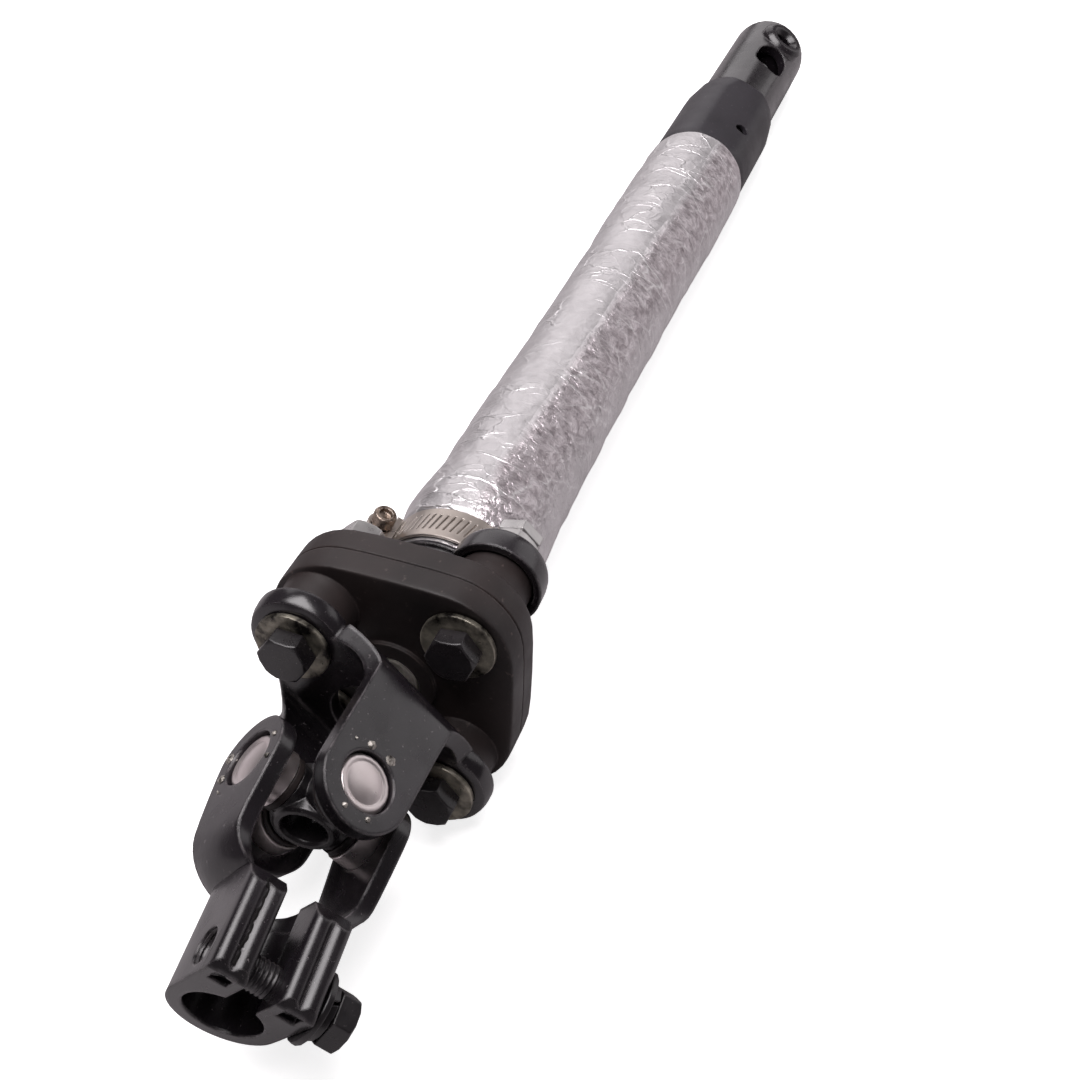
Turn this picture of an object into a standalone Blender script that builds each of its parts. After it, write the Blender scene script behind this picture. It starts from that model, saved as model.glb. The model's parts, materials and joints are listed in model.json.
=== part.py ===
"""Steering column shaft: a clamp yoke and universal joint, a rubber coupling with two pressed flanges,
a long tube in a foil sleeve, and a telescoping socket end. It lies on the flat of its rubber disc.

Everything is modelled along one axis: z runs from the joint's centre to the socket end, +x and +y are the
cross's two axes, and the empties at the end lay that axis on the floor.
"""

from math import acos, asin, atan2, cos, degrees, pi, radians, sin, sqrt

import bmesh
import bpy
from mathutils import Euler, Vector

# Clearances
GAP = 0.0003
WELD = 0.00005
LAP = 0.0002

# How far a cutting tool reaches, from the axis, past a face and across a plate
THROUGH = 0.0400
PAST = 0.0100
ACROSS = 0.0500

# Rest position of the joint: how far the cross and the lower yoke are bent
CROSS_BEND = radians(8.5)
YOKE_BEND = radians(3.0)
ROLL = radians(225.0)

# Pressed yokes
SHEET = 0.0046
ARM_OUT = 0.0220
ARM_TIP_R = 0.0134
BEND_R = 0.0090

# Universal joint
CUP_R = 0.0080
CUP_SUNK = 0.0009
CUP_L = 0.0092
CUP_END = 0.0019
CUP_EDGE = 0.0009
TRUNNION_R = 0.0053
HUB_R = 0.0088
HUB_BORE_R = 0.0060
HUB_HALF = 0.0076
HUB_EDGE = 0.0008
SEAL_L = 0.0019
COLLAR_EDGE = 0.0004

# Upper yoke and its flange
JOINT_ROOM = 0.0332
EAR_R = 0.0142
FLARE_WIDTH = 0.0243
FLARE_STEPS = 6
FLARE_POWER = 1.3
EYE_ROOM = 0.0025
TOOL_ROOM = 0.0020
RIM = 0.0022
RIM_BEND = 0.0030
LOWER_RIM = 0.0014
UPPER_RIM = 0.0046

# Lower yoke and its clamp
LOWER_TIP_R = 0.0128
ARM_STRAIGHT = 0.0185
ARM_WAIST = 0.0098
ARM_SPREAD = radians(62.0)
ARM_COLUMNS = 8
ARM_TURNS = (18, 36, 54, 72, 90)
ARM_ABOVE = 0.0020
ARM_BELOW = 0.0030
ARM_FOOT = 0.0070
ARM_SIDE_ROOM = 0.0010
CLAMP_BORE_R = 0.0103
CLAMP_WALL = 0.0039
CLAMP_START = 0.0305
CLAMP_L = 0.0275
CLAMP_TURN = radians(-8.0)
CLAMP_SLOT = 0.0082
LUG_REACH = 0.0078
LUG_GROOVE = 0.0012
LUG_CHAMFER = 0.0025
LUG_SHOULDER = 0.0050
BAR_SIDE = 0.0300
BAR_L = 0.0600
POCKET_H = 0.0021
POCKET_WALL = 0.0026
POCKET_START = 0.0145
WEB_H = 0.0090
VALLEY_R = 0.0142
VALLEY_LOW = 0.0015
PINCH_OFF = 0.0118
PINCH_DOWN = 0.0203
PINCH_WASHER_R = 0.0092
PINCH_SHORT = 0.0050
THREAD_R = 0.0049
SPRING_R = 0.0069
SPRING_H = 0.0021
SPRING_SPLIT = 0.0008
SPRING_SPLIT_TURN = radians(25.0)

# Fasteners
BOLT_R = 0.0040
BOLT_EDGE = 0.0008
HEX_FLATS = 0.0130
HEX_SLOPE = 0.6
HEAD_H = 0.0056
NUT_H = 0.0080
LOCK_NUT_H = 0.0110
WASHER_R = 0.0110
WASHER_H = 0.0017
STUB = 0.0025

# Rubber coupling
BOLT_CIRCLE = 0.0286
LOWER_BOSS_H = 0.0114
DISC_H = 0.0168
UPPER_BOSS_H = 0.0130
DISC_MARGIN = 0.0071
DISC_CORNER_R = 0.0215
DISC_EDGE = 0.0026
DISC_SHARP = 60.0
SEAM = 0.0006
BOSS_R = 0.0112
BOSS_FLARE = 0.0009
BOSS_FLARE_H = 0.0030
COLLAR_R = 0.0135
COLLAR_H = 0.0012
BUSH_R = 0.0065

# Tube, hub and centre pin
HUB_PLATE_R = 0.0218
FILLET_H = 0.0018
FILLET_W = 0.0020
TUBE_R = 0.0194
TUBE_WALL = 0.0019
TUBE_L = 0.3580
FORM_L = 0.0640
FORM_PROUD = 0.0011
FORM_CUT = 0.0012
FORM_TURN = radians(-22.0)
FORM_TAPER = 0.0130
FORM_STEP = 0.0040
DIMPLE_R = 0.0030
DIMPLE_DOWN = 0.0400
DIMPLE_REACH = 0.0300
MOUTH_IN = 0.0004
PIN_R = 0.0085
PIN_OUT = 0.0012
PIN_EDGE = 0.0010
PIN_PLUG_H = 0.0060

# Foil sleeve
SLEEVE_ROOM = 0.0003
SLEEVE_WALL = 0.0006
SLEEVE_PUFF = 0.0018
SLEEVE_LOOSE = 0.0006
SLEEVE_LAP = 0.0006
SLEEVE_LAP_AT = radians(-62.0)
SLEEVE_SHORT = 0.0015
SLEEVE_LAP_FADE = 6.0
SLEEVE_FOLD = 0.0200
SLEEVE_FOLD_SHARE = 1.6
SLEEVE_MOUTH_SHARE = 0.9

# The sleeve's puff, by height above the hose clamp, and its calm stretch, by share of the rest
SLEEVE_PUFFS = ((0.0050, 0.7), (0.0140, 1.0), (0.0300, 0.6))
SLEEVE_CALM = (0.25, 0.60)

# Hose clamp
BAND_UP = 0.0012
BAND_W = 0.0126
BAND_T = 0.0008
BAND_SLOTS = 40
BAND_SLOT_W = 0.0012
BAND_SLOT_L = 0.0078
BAND_SLOT_TILT = radians(14.0)
HOUSING_AT = radians(-114.0)
HOUSING_L = 0.0120
HOUSING_FOOT = 0.0016
HOUSING_WALL = 0.0010
WORM_R = 0.0030
WORM_HEAD_FLATS = 0.0070
WORM_HEAD_H = 0.0042
DRIVER_SLOT_W = 0.0012
DRIVER_SLOT_H = 0.0014

# Telescoping socket end
SLIDER_WALL = 0.0047
SLIDER_OUT = 0.0810
SLIDER_L = 0.1880
TIP_ROUND = 0.0060
SOCKET_BORE_R = 0.0068
SOCKET_L = 0.0300
WINDOW_DOWN = 0.0310
WINDOW_L = 0.0230
WINDOW_W = 0.0150
BOSS_DOWN = 0.0195
BOSS_PAD_R = 0.0105
BOSS_PAD_EDGE = 0.0020
BOSS_TURN = radians(-12.0)
BOSS_PROUD = 0.0020
BOSS_HOLE_R = 0.0042
BOSS_SINK_R = 0.0064

# Facets
ROUND = 32
MEDIUM = 20
SMALL = 16
FINE = 12

# Heights and radii that follow from the above
CUP_OUT = ARM_OUT - CUP_SUNK
CUP_IN = CUP_OUT - CUP_L
SHOULDER = CUP_IN - 2 * GAP - SEAL_L
SHOULDER_R = CUP_R - 2 * COLLAR_EDGE
SEAL_R = CUP_R - COLLAR_EDGE
FLANGE_LOW = JOINT_ROOM
FLANGE_TOP = FLANGE_LOW + SHEET
DISC_LOW = FLANGE_TOP + LOWER_BOSS_H
DISC_TOP = DISC_LOW + DISC_H
DISC_FLAT = BOLT_CIRCLE + DISC_MARGIN
UPPER_FLANGE_LOW = DISC_TOP + UPPER_BOSS_H
UPPER_FLANGE_TOP = UPPER_FLANGE_LOW + SHEET
HOLE_R = BOLT_R + GAP
CLAMP_R = CLAMP_BORE_R + CLAMP_WALL
CLAMP_TOP = -CLAMP_START
CLAMP_END = CLAMP_TOP - CLAMP_L
LUG_TOP = CLAMP_R + LUG_REACH
PINCH_Z = CLAMP_TOP - PINCH_DOWN
TUBE_BORE_R = TUBE_R - TUBE_WALL
TUBE_LOW = UPPER_FLANGE_LOW
TUBE_TOP = TUBE_LOW + TUBE_L
FORM_START = TUBE_TOP - FORM_L
FORM_WIDE = TUBE_R + FORM_PROUD
FORM_FLAT = TUBE_R - FORM_CUT
PIN_LOW = DISC_LOW - PIN_OUT
SLEEVE_LOW = UPPER_FLANGE_TOP + FILLET_H + GAP
SLEEVE_TOP = FORM_START - SLEEVE_SHORT
SLEEVE_IN = TUBE_R + SLEEVE_ROOM
BAND_LOW = SLEEVE_LOW + BAND_UP
BAND_R = SLEEVE_IN + SLEEVE_WALL + GAP
HOUSING_SEAT = BAND_R + BAND_T + GAP
WORM_OFF = HOUSING_SEAT + HOUSING_WALL + WORM_R
SLIDER_R = TUBE_BORE_R - GAP
SLIDER_BORE_R = SLIDER_R - SLIDER_WALL
SLIDER_TOP = TUBE_TOP + SLIDER_OUT
SLIDER_LOW = SLIDER_TOP - SLIDER_L
BOSS_Z = SLIDER_TOP - BOSS_DOWN
BOSS_FACE = SLIDER_R + BOSS_PROUD

# The shaft leans on the flat of its disc and on whichever of the tube and the socket end comes down first
REST_Z = DISC_TOP - DISC_EDGE
TUBE_LEAN = atan2(DISC_FLAT - FORM_WIDE, TUBE_TOP - FORM_TAPER - REST_Z)
TIP_LEAN = atan2(DISC_FLAT - SLIDER_R, SLIDER_TOP - TIP_ROUND - REST_Z)
TILT = min(TUBE_LEAN, TIP_LEAN)


def clear_scene():
    for item in list(bpy.data.objects):
        bpy.data.objects.remove(item, do_unlink=True)


def new_collection(name):
    holder = bpy.data.collections.new(name)
    bpy.context.scene.collection.children.link(holder)
    return holder


clear_scene()
PARTS = new_collection("steering_column_shaft")
TOOLS = new_collection("cutters")


def surface(name, colour, rough, metal):
    material = bpy.data.materials.new(name)
    material.use_nodes = True
    shader = material.node_tree.nodes["Principled BSDF"]
    shader.inputs["Base Color"].default_value = (*colour, 1.0)
    shader.inputs["Roughness"].default_value = rough
    shader.inputs["Metallic"].default_value = metal
    return material


BLACK = surface("black_paint", (0.012, 0.012, 0.014), 0.35, 0.3)
RUBBER = surface("rubber", (0.018, 0.015, 0.014), 0.7, 0.0)
ZINC = surface("zinc", (0.62, 0.60, 0.55), 0.35, 1.0)
STEEL = surface("bare_steel", (0.60, 0.55, 0.54), 0.30, 1.0)
FOIL = surface("foil", (0.80, 0.79, 0.79), 0.28, 1.0)
BAND = surface("clamp_steel", (0.55, 0.49, 0.42), 0.35, 1.0)


# Helpers that make and combine solids
def linked(name, mesh, holder=None):
    item = bpy.data.objects.new(name, mesh)
    (holder or PARTS).objects.link(item)
    return item


def as_tool(item):
    for holder in list(item.users_collection):
        holder.objects.unlink(item)
    TOOLS.objects.link(item)
    item.hide_render = True
    item.display_type = "WIRE"
    return item


def cylinder(name, radius, low, high, segments=MEDIUM, top_radius=None):
    """A cylinder or cone along z, from low to high."""
    shape = bmesh.new()
    bmesh.ops.create_cone(
        shape,
        cap_ends=True,
        segments=segments,
        radius1=radius,
        radius2=radius if top_radius is None else top_radius,
        depth=high - low,
    )
    bmesh.ops.translate(shape, verts=shape.verts, vec=(0.0, 0.0, (low + high) / 2))
    mesh = bpy.data.meshes.new(name)
    shape.to_mesh(mesh)
    shape.free()
    return linked(name, mesh)


def block(name, size, centre):
    shape = bmesh.new()
    bmesh.ops.create_cube(shape, size=1.0)
    bmesh.ops.scale(shape, verts=shape.verts, vec=size)
    bmesh.ops.translate(shape, verts=shape.verts, vec=centre)
    mesh = bpy.data.meshes.new(name)
    shape.to_mesh(mesh)
    shape.free()
    return linked(name, mesh)


def turned(name, profile, segments=ROUND, closed=False):
    """Turns a profile of (radius, z) about z. Its outer side runs from top to bottom."""
    mesh = bpy.data.meshes.new(name)
    edges = [(i, i + 1) for i in range(len(profile) - 1)]
    if closed:
        edges.append((len(profile) - 1, 0))
    mesh.from_pydata([(r, 0.0, z) for r, z in profile], edges, [])
    item = linked(name, mesh)
    screw = item.modifiers.new("Turn", "SCREW")
    screw.angle = 2 * pi
    screw.steps = segments
    screw.render_steps = segments
    screw.use_merge_vertices = True
    screw.merge_threshold = WELD
    screw.use_smooth_shade = True
    return solid_of(item)


def ring(name, outer, inner, low, high, segments=ROUND):
    return turned(name, [(outer, high), (outer, low), (inner, low), (inner, high)], segments, closed=True)


def arc(x, y, radius, start, end, steps):
    """Points on an arc; the angles are in degrees."""
    turns = [radians(start + (end - start) * i / steps) for i in range(steps + 1)]
    return [(x + radius * cos(a), y + radius * sin(a)) for a in turns]


def prism(name, outline, low, high):
    """A flat outline drawn as a filled curve, raised from low to high and made a mesh."""
    curve = bpy.data.curves.new(name, "CURVE")
    curve.dimensions = "2D"
    curve.fill_mode = "BOTH"
    curve.extrude = (high - low) / 2
    line = curve.splines.new("POLY")
    line.points.add(len(outline) - 1)
    for point, (x, y) in zip(line.points, outline):
        point.co = (x, y, 0.0, 1.0)
    line.use_cyclic_u = True
    drawn = bpy.data.objects.new(name, curve)
    PARTS.objects.link(drawn)
    bpy.context.view_layer.update()
    mesh = bpy.data.meshes.new_from_object(drawn.evaluated_get(bpy.context.evaluated_depsgraph_get()))
    bpy.data.objects.remove(drawn, do_unlink=True)
    shape = bmesh.new()
    shape.from_mesh(mesh)
    bmesh.ops.remove_doubles(shape, verts=shape.verts, dist=WELD / 10)
    bmesh.ops.translate(shape, verts=shape.verts, vec=(0.0, 0.0, (low + high) / 2))
    bmesh.ops.recalc_face_normals(shape, faces=shape.faces)
    shape.to_mesh(mesh)
    shape.free()
    return linked(name, mesh)


def loft(name, sections):
    """Joins loops with equally many points, and closes both ends."""
    shape = bmesh.new()
    loops = [[shape.verts.new(p) for p in section] for section in sections]
    count = len(sections[0])
    for lower, upper in zip(loops, loops[1:]):
        for i in range(count):
            j = (i + 1) % count
            shape.faces.new((lower[i], lower[j], upper[j], upper[i]))
    shape.faces.new(loops[0])
    shape.faces.new(loops[-1])
    bmesh.ops.recalc_face_normals(shape, faces=shape.faces)
    mesh = bpy.data.meshes.new(name)
    shape.to_mesh(mesh)
    shape.free()
    return linked(name, mesh)


def combine(item, tool, operation):
    modifier = item.modifiers.new(operation.title(), "BOOLEAN")
    modifier.operation = operation
    modifier.solver = "EXACT"
    modifier.object = as_tool(tool)
    tool.parent = item
    return item


def cut(item, *tools):
    for tool in tools:
        combine(item, tool, "DIFFERENCE")
    return item


def join(item, *tools):
    for tool in tools:
        combine(item, tool, "UNION")
    return item


def common(item, tool):
    return combine(item, tool, "INTERSECT")


def rounded(item, width, segments=2, angle=40.0):
    bevel = item.modifiers.new("Edge", "BEVEL")
    bevel.width = width
    bevel.segments = segments
    bevel.limit_method = "ANGLE"
    bevel.angle_limit = radians(angle)
    return item


def turn(item, x=0.0, y=0.0, z=0.0, order="XYZ"):
    item.data.transform(Euler((x, y, z), order).to_matrix().to_4x4())
    return item


def shift(item, x=0.0, y=0.0, z=0.0):
    for vertex in item.data.vertices:
        vertex.co += Vector((x, y, z))
    return item


def along_x(item):
    """Lays a solid made along z along +x."""
    return turn(item, y=pi / 2)


def along_y(item):
    """Lays a solid made along z along +y."""
    return turn(item, x=-pi / 2)


def discard(item):
    """Removes an object with the tools that hang on it."""
    for child in list(item.children):
        discard(child)
    bpy.data.objects.remove(item, do_unlink=True)


def settled(item):
    """Replaces an object and its tools by its evaluated mesh, so that copies can share it."""
    bpy.context.view_layer.update()
    mesh = bpy.data.meshes.new_from_object(item.evaluated_get(bpy.context.evaluated_depsgraph_get()))
    discard(item)
    return mesh


def solid_of(item):
    """The evaluated form of an object as a fresh object, free of modifiers."""
    name = item.name
    return linked(name, settled(item))


def finish(item, name, material, parent, where=(0.0, 0.0, 0.0), spin=(0.0, 0.0, 0.0)):
    item.name = name
    item.data.materials.clear()
    item.data.materials.append(material)
    item.parent = parent
    item.location = where
    item.rotation_euler = spin
    item.data.shade_smooth()
    item.data.set_sharp_from_angle(angle=radians(35.0))
    return item


def empty(name, parent=None, where=(0.0, 0.0, 0.0), spin=(0.0, 0.0, 0.0), order="XYZ"):
    item = bpy.data.objects.new(name, None)
    PARTS.objects.link(item)
    item.empty_display_size = 0.02
    item.rotation_mode = order
    item.parent = parent
    item.location = where
    item.rotation_euler = spin
    return item


# Empties that carry the pieces: the shaft's axis, the cross, the lower yoke and the telescoping end
SHAFT = empty("shaft_axis", spin=(0.0, pi / 2 + TILT, ROLL), order="ZYX")
CROSS = empty("cross_axis", SHAFT, spin=(CROSS_BEND, 0.0, 0.0))
LOWER = empty("lower_yoke_axis", CROSS, spin=(0.0, YOKE_BEND, 0.0))
SLIDE = empty("slide_axis", SHAFT, where=(0.0, 0.0, TUBE_TOP))


# Fasteners
def hexagon(name, flats, low, high, dome_at_top=True):
    """A hexagon with its corners turned off at one end."""
    corner = flats / sqrt(3)
    item = cylinder(name, corner, low, high, 6)
    lathe = flats / 2
    wide = corner / cos(pi / FINE) + GAP
    drop = (wide - lathe) * HEX_SLOPE
    if dome_at_top:
        profile = [(0.0, high), (lathe, high), (wide, high - drop), (wide, low - LAP), (0.0, low - LAP)]
    else:
        profile = [(0.0, high + LAP), (wide, high + LAP), (wide, low + drop), (lathe, low), (0.0, low)]
    return common(item, turn(turned(name + "_lathe", profile, FINE), z=pi / FINE))


def bolt_mesh(name, length):
    """A bolt whose head's underside is at z = 0, with the head below and the shank above."""
    item = hexagon(name, HEX_FLATS, -HEAD_H, 0.0, dome_at_top=False)
    shank = [(0.0, length), (BOLT_R - BOLT_EDGE, length), (BOLT_R, length - BOLT_EDGE)]
    shank += [(BOLT_R, -LAP), (0.0, -LAP)]
    return settled(join(item, turned(name + "_shank", shank, FINE)))


def nut_mesh(height):
    item = hexagon("nut_blank", HEX_FLATS, 0.0, height)
    return settled(cut(item, cylinder("nut_bore", HOLE_R, -LAP, height + LAP, FINE)))


def washer_mesh():
    return settled(ring("washer_blank", WASHER_R, HOLE_R, 0.0, WASHER_H, SMALL))


def coupling_fasteners():
    """Bolts A and C hold the lower flange, B and D the upper one. All four heads face the joint."""
    low_seat = FLANGE_LOW - WASHER_H - GAP
    top_washer = DISC_TOP + GAP
    lock_seat = top_washer + WASHER_H + GAP
    disc_seat = DISC_LOW - WASHER_H - GAP
    nut_seat = UPPER_FLANGE_TOP + GAP
    lower_bolt = bolt_mesh("lower_bolt_blank", lock_seat + LOCK_NUT_H + STUB - low_seat + GAP)
    upper_bolt = bolt_mesh("upper_bolt_blank", nut_seat + NUT_H + STUB - disc_seat + GAP)
    lock_nut = nut_mesh(LOCK_NUT_H)
    nut = nut_mesh(NUT_H)
    washer = washer_mesh()
    stations = (
        ("a", -90.0, low_seat, lower_bolt, lock_nut, lock_seat, 18.0),
        ("b", 0.0, disc_seat, upper_bolt, nut, nut_seat, 8.0),
        ("c", 90.0, low_seat, lower_bolt, lock_nut, lock_seat, 4.0),
        ("d", 180.0, disc_seat, upper_bolt, nut, nut_seat, 22.0),
    )
    for letter, around, seat, bolt, own_nut, own_seat, spin in stations:
        x = BOLT_CIRCLE * cos(radians(around))
        y = BOLT_CIRCLE * sin(radians(around))
        bolt_turn = (0.0, 0.0, radians(spin))
        nut_turn = (0.0, 0.0, radians(around))
        finish(linked("b", bolt), "bolt_" + letter, BLACK, SHAFT, (x, y, seat - GAP), bolt_turn)
        finish(linked("w", washer), "washer_" + letter, ZINC, SHAFT, (x, y, seat))
        if own_nut is lock_nut:
            finish(linked("w", washer), "nut_washer_" + letter, ZINC, SHAFT, (x, y, top_washer))
        finish(linked("n", own_nut), "nut_" + letter, ZINC, SHAFT, (x, y, own_seat), nut_turn)


# Universal joint
def make_cross():
    """A hollow hub with four trunnions; each trunnion has a shoulder for its seal."""
    hub = [(0.0, HUB_HALF), (HUB_R - HUB_EDGE, HUB_HALF), (HUB_R, HUB_HALF - HUB_EDGE)]
    hub += [(r, -z) for r, z in reversed(hub)]
    item = turned("cross", hub, MEDIUM)
    reach = CUP_OUT - CUP_END - GAP
    pair = [(0.0, reach), (TRUNNION_R, reach)]
    pair += [(TRUNNION_R, SHOULDER), (SHOULDER_R, SHOULDER)]
    pair += [(r, -z) for r, z in reversed(pair)]
    join(item, along_x(turned("trunnions_x", pair, SMALL)), along_y(turned("trunnions_y", pair, SMALL)))
    flare = HUB_BORE_R + HUB_EDGE
    high = HUB_HALF + LAP
    bore = [(0.0, high), (flare, high), (HUB_BORE_R, HUB_HALF - HUB_EDGE)]
    bore += [(r, -z) for r, z in reversed(bore)]
    cut(item, turned("hub_bore", bore, MEDIUM))
    return finish(item, "cross", BLACK, CROSS)


def cup_mesh():
    """A bearing cup along +z with its closed end outwards."""
    return settled(
        turned(
            "cup_blank",
            [
                (0.0, CUP_OUT),
                (CUP_R - CUP_EDGE, CUP_OUT),
                (CUP_R, CUP_OUT - CUP_EDGE),
                (CUP_R, CUP_IN),
                (TRUNNION_R + GAP, CUP_IN),
                (TRUNNION_R + GAP, CUP_OUT - CUP_END),
                (0.0, CUP_OUT - CUP_END),
            ],
            MEDIUM,
        )
    )


def seal_mesh():
    low = SHOULDER + GAP
    high = CUP_IN - GAP
    return settled(ring("seal_blank", SEAL_R, TRUNNION_R + GAP, low, high, SMALL))


def bearings():
    cup = cup_mesh()
    seal = seal_mesh()
    quarter = pi / 2
    sides = (
        ("upper_cup_near", "seal_near", SHAFT, (0.0, quarter, 0.0)),
        ("upper_cup_far", "seal_far", SHAFT, (0.0, -quarter, 0.0)),
        ("lower_cup_left", "seal_left", LOWER, (quarter, 0.0, 0.0)),
        ("lower_cup_right", "seal_right", LOWER, (-quarter, 0.0, 0.0)),
    )
    for cup_name, seal_name, carrier, spin in sides:
        finish(linked("c", cup), cup_name, STEEL, carrier, spin=spin)
        finish(linked("s", seal), seal_name, RUBBER, CROSS, spin=spin)


# Upper yoke
def yoke_channel(name, width):
    """The U of the upper yoke seen along y: two arms and the plate that joins them."""
    inner = ARM_OUT - SHEET
    bend_in = BEND_R - SHEET
    turn_x = ARM_OUT - BEND_R
    turn_z = FLANGE_TOP - BEND_R
    foot = -ARM_TIP_R - TOOL_ROOM
    outline = [(ARM_OUT, foot)]
    outline += arc(turn_x, turn_z, BEND_R, 0, 90, 7)
    outline += arc(-turn_x, turn_z, BEND_R, 90, 180, 7)
    outline += [(-ARM_OUT, foot), (-inner, foot)]
    outline += arc(-turn_x, turn_z, bend_in, 180, 90, 5)
    outline += arc(turn_x, turn_z, bend_in, 90, 0, 5)
    outline += [(inner, foot)]
    return turn(prism(name, outline, -width, width), x=pi / 2)


def arm_outline():
    """The arm seen along x, as (y, z): round about the cup, straight above it and wide from its bend up."""
    tip = arc(0.0, 0.0, ARM_TIP_R, 180, 360, 16)
    top = FLANGE_TOP + TOOL_ROOM
    wide = FLARE_WIDTH + TOOL_ROOM
    shoulder = FLANGE_TOP - BEND_R
    right = [(ARM_TIP_R, shoulder - SHEET), (ARM_TIP_R + TOOL_ROOM, shoulder)]
    right += [(wide, shoulder + TOOL_ROOM), (wide, top)]
    left = [(-y, z) for y, z in reversed(right)]
    return tip + right + left


def flare_outline():
    """The bend seen square to its middle: the arm's sides curve out to the width of the plate."""
    middle = (ARM_OUT - BEND_R - FLANGE_TOP + SHEET / 2) / sqrt(2)
    end = (ARM_OUT - SHEET / 2 - FLANGE_TOP + BEND_R) / sqrt(2)
    reach = FLARE_WIDTH + TOOL_ROOM - ARM_TIP_R
    side = [(middle - FLARE_WIDTH - ARM_TIP_R, FLARE_WIDTH + TOOL_ROOM)]
    for i in range(FLARE_STEPS + 1):
        swing = radians(90.0 * i / FLARE_STEPS)
        away = middle + (end - middle) * sin(swing)
        side.append((away, ARM_TIP_R + LAP + reach * (1.0 - sin(swing)) ** FLARE_POWER))
    side.append((end + FLARE_WIDTH + ARM_TIP_R, ARM_TIP_R + LAP))
    return side + [(t, -y) for t, y in reversed(side)]


def seen_along_x(name, outline, width):
    """A prism whose outline is given as (y, z)."""
    item = prism(name, outline, -width, width)
    return turn(turn(item, x=pi / 2), z=pi / 2)


def flange_outline(inset=0.0):
    """The lower flange: two round ears on the y axis, and a middle that ends in the bends of the arms."""
    ear = EAR_R - inset
    upper = arc(0.0, BOLT_CIRCLE, ear, -18, 198, 14)
    lower = arc(0.0, -BOLT_CIRCLE, ear, 162, 378, 14)
    return upper + lower


def hub_outline(inset=0.0):
    """The upper flange: the same ears, with a round middle for the tube."""
    ear = EAR_R - inset
    middle = HUB_PLATE_R - inset
    meet = (BOLT_CIRCLE**2 + middle**2 - ear**2) / (2 * BOLT_CIRCLE)
    ear_end = degrees(asin((BOLT_CIRCLE - meet) / ear))
    plate_end = degrees(acos(meet / middle))
    upper = arc(0.0, BOLT_CIRCLE, ear, -ear_end, 180 + ear_end, 16)
    left = arc(0.0, 0.0, middle, 90 + plate_end, 270 - plate_end, 8)
    lower = arc(0.0, -BOLT_CIRCLE, ear, 180 - ear_end, 360 + ear_end, 16)
    right = arc(0.0, 0.0, middle, 270 + plate_end, 450 - plate_end, 8)
    return upper + left[1:-1] + lower + right[1:-1]


def dish(name, outline_at, rim, clear):
    """A pressed plate with its underside at z = 0: the edge of each ear turns up, and the bend is round."""
    top = SHEET + rim
    sections = []
    for turned_by in (0, 45, 90):
        inset = RIM_BEND * (1 - sin(radians(turned_by)))
        height = RIM_BEND * (1 - cos(radians(turned_by)))
        sections.append([(x, y, height) for x, y in outline_at(inset)])
    sections.append([(x, y, top) for x, y in outline_at()])
    item = loft(name, sections)
    middle = [(-ACROSS, -clear), (ACROSS, -clear), (ACROSS, clear), (-ACROSS, clear)]
    cut(item, prism(name + "_inside", outline_at(RIM), SHEET, top + LAP))
    return cut(item, prism(name + "_middle", middle, SHEET, top + LAP))


def bolt_holes(name, radius, low, high, first):
    tools = []
    for around in (first, first + 180.0):
        x = BOLT_CIRCLE * cos(radians(around))
        y = BOLT_CIRCLE * sin(radians(around))
        tools.append(shift(cylinder(name, radius, low, high, SMALL), x, y))
    return tools


def make_upper_yoke():
    item = yoke_channel("upper_yoke", FLARE_WIDTH)
    common(item, seen_along_x("yoke_side", arm_outline(), ARM_OUT + SHEET))
    reach = FLANGE_TOP + ARM_OUT
    near = prism("near_flare", flare_outline(), -reach, reach)
    common(item, turn(near, y=pi / 4))
    far = prism("far_flare", [(-t, y) for t, y in flare_outline()], -reach, reach)
    common(item, turn(far, y=-pi / 4))
    plate = shift(solid_of(dish("yoke_flange", flange_outline, LOWER_RIM, FLARE_WIDTH)), z=FLANGE_LOW)
    join(item, plate)
    below = FLANGE_LOW - PAST
    above = FLANGE_TOP + PAST
    cut(item, *bolt_holes("yoke_bolt", HOLE_R, below, above, 90.0))
    cut(item, cylinder("yoke_eye", PIN_R + EYE_ROOM, below, above, MEDIUM))
    cut(item, along_x(cylinder("yoke_cups", CUP_R + GAP, -THROUGH, THROUGH, MEDIUM)))
    return finish(item, "upper_yoke", BLACK, SHAFT)


# Lower yoke
def clamp_outline():
    """The clamp seen along z: a split tube and two lugs towards +x, each a doubled sheet."""
    half = CLAMP_SLOT / 2
    middle = (half + CLAMP_R) / 2
    bead = (CLAMP_R - half) / 4
    crest = LUG_TOP - bead
    mouth = degrees(asin(half / CLAMP_BORE_R))
    points = arc(0.0, 0.0, CLAMP_R, 90, 270, 14)
    points += arc(crest, -CLAMP_R + bead, bead, -90, 60, 6)
    points += [(LUG_TOP - LUG_GROOVE, -middle)]
    points += arc(crest, -half - bead, bead, -60, 90, 6)
    points += arc(0.0, 0.0, CLAMP_BORE_R, -mouth, -360 + mouth, 20)
    points += arc(crest, half + bead, bead, -90, 60, 6)
    points += [(LUG_TOP - LUG_GROOVE, middle)]
    points += arc(crest, CLAMP_R - bead, bead, -60, 90, 6)
    return points


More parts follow.
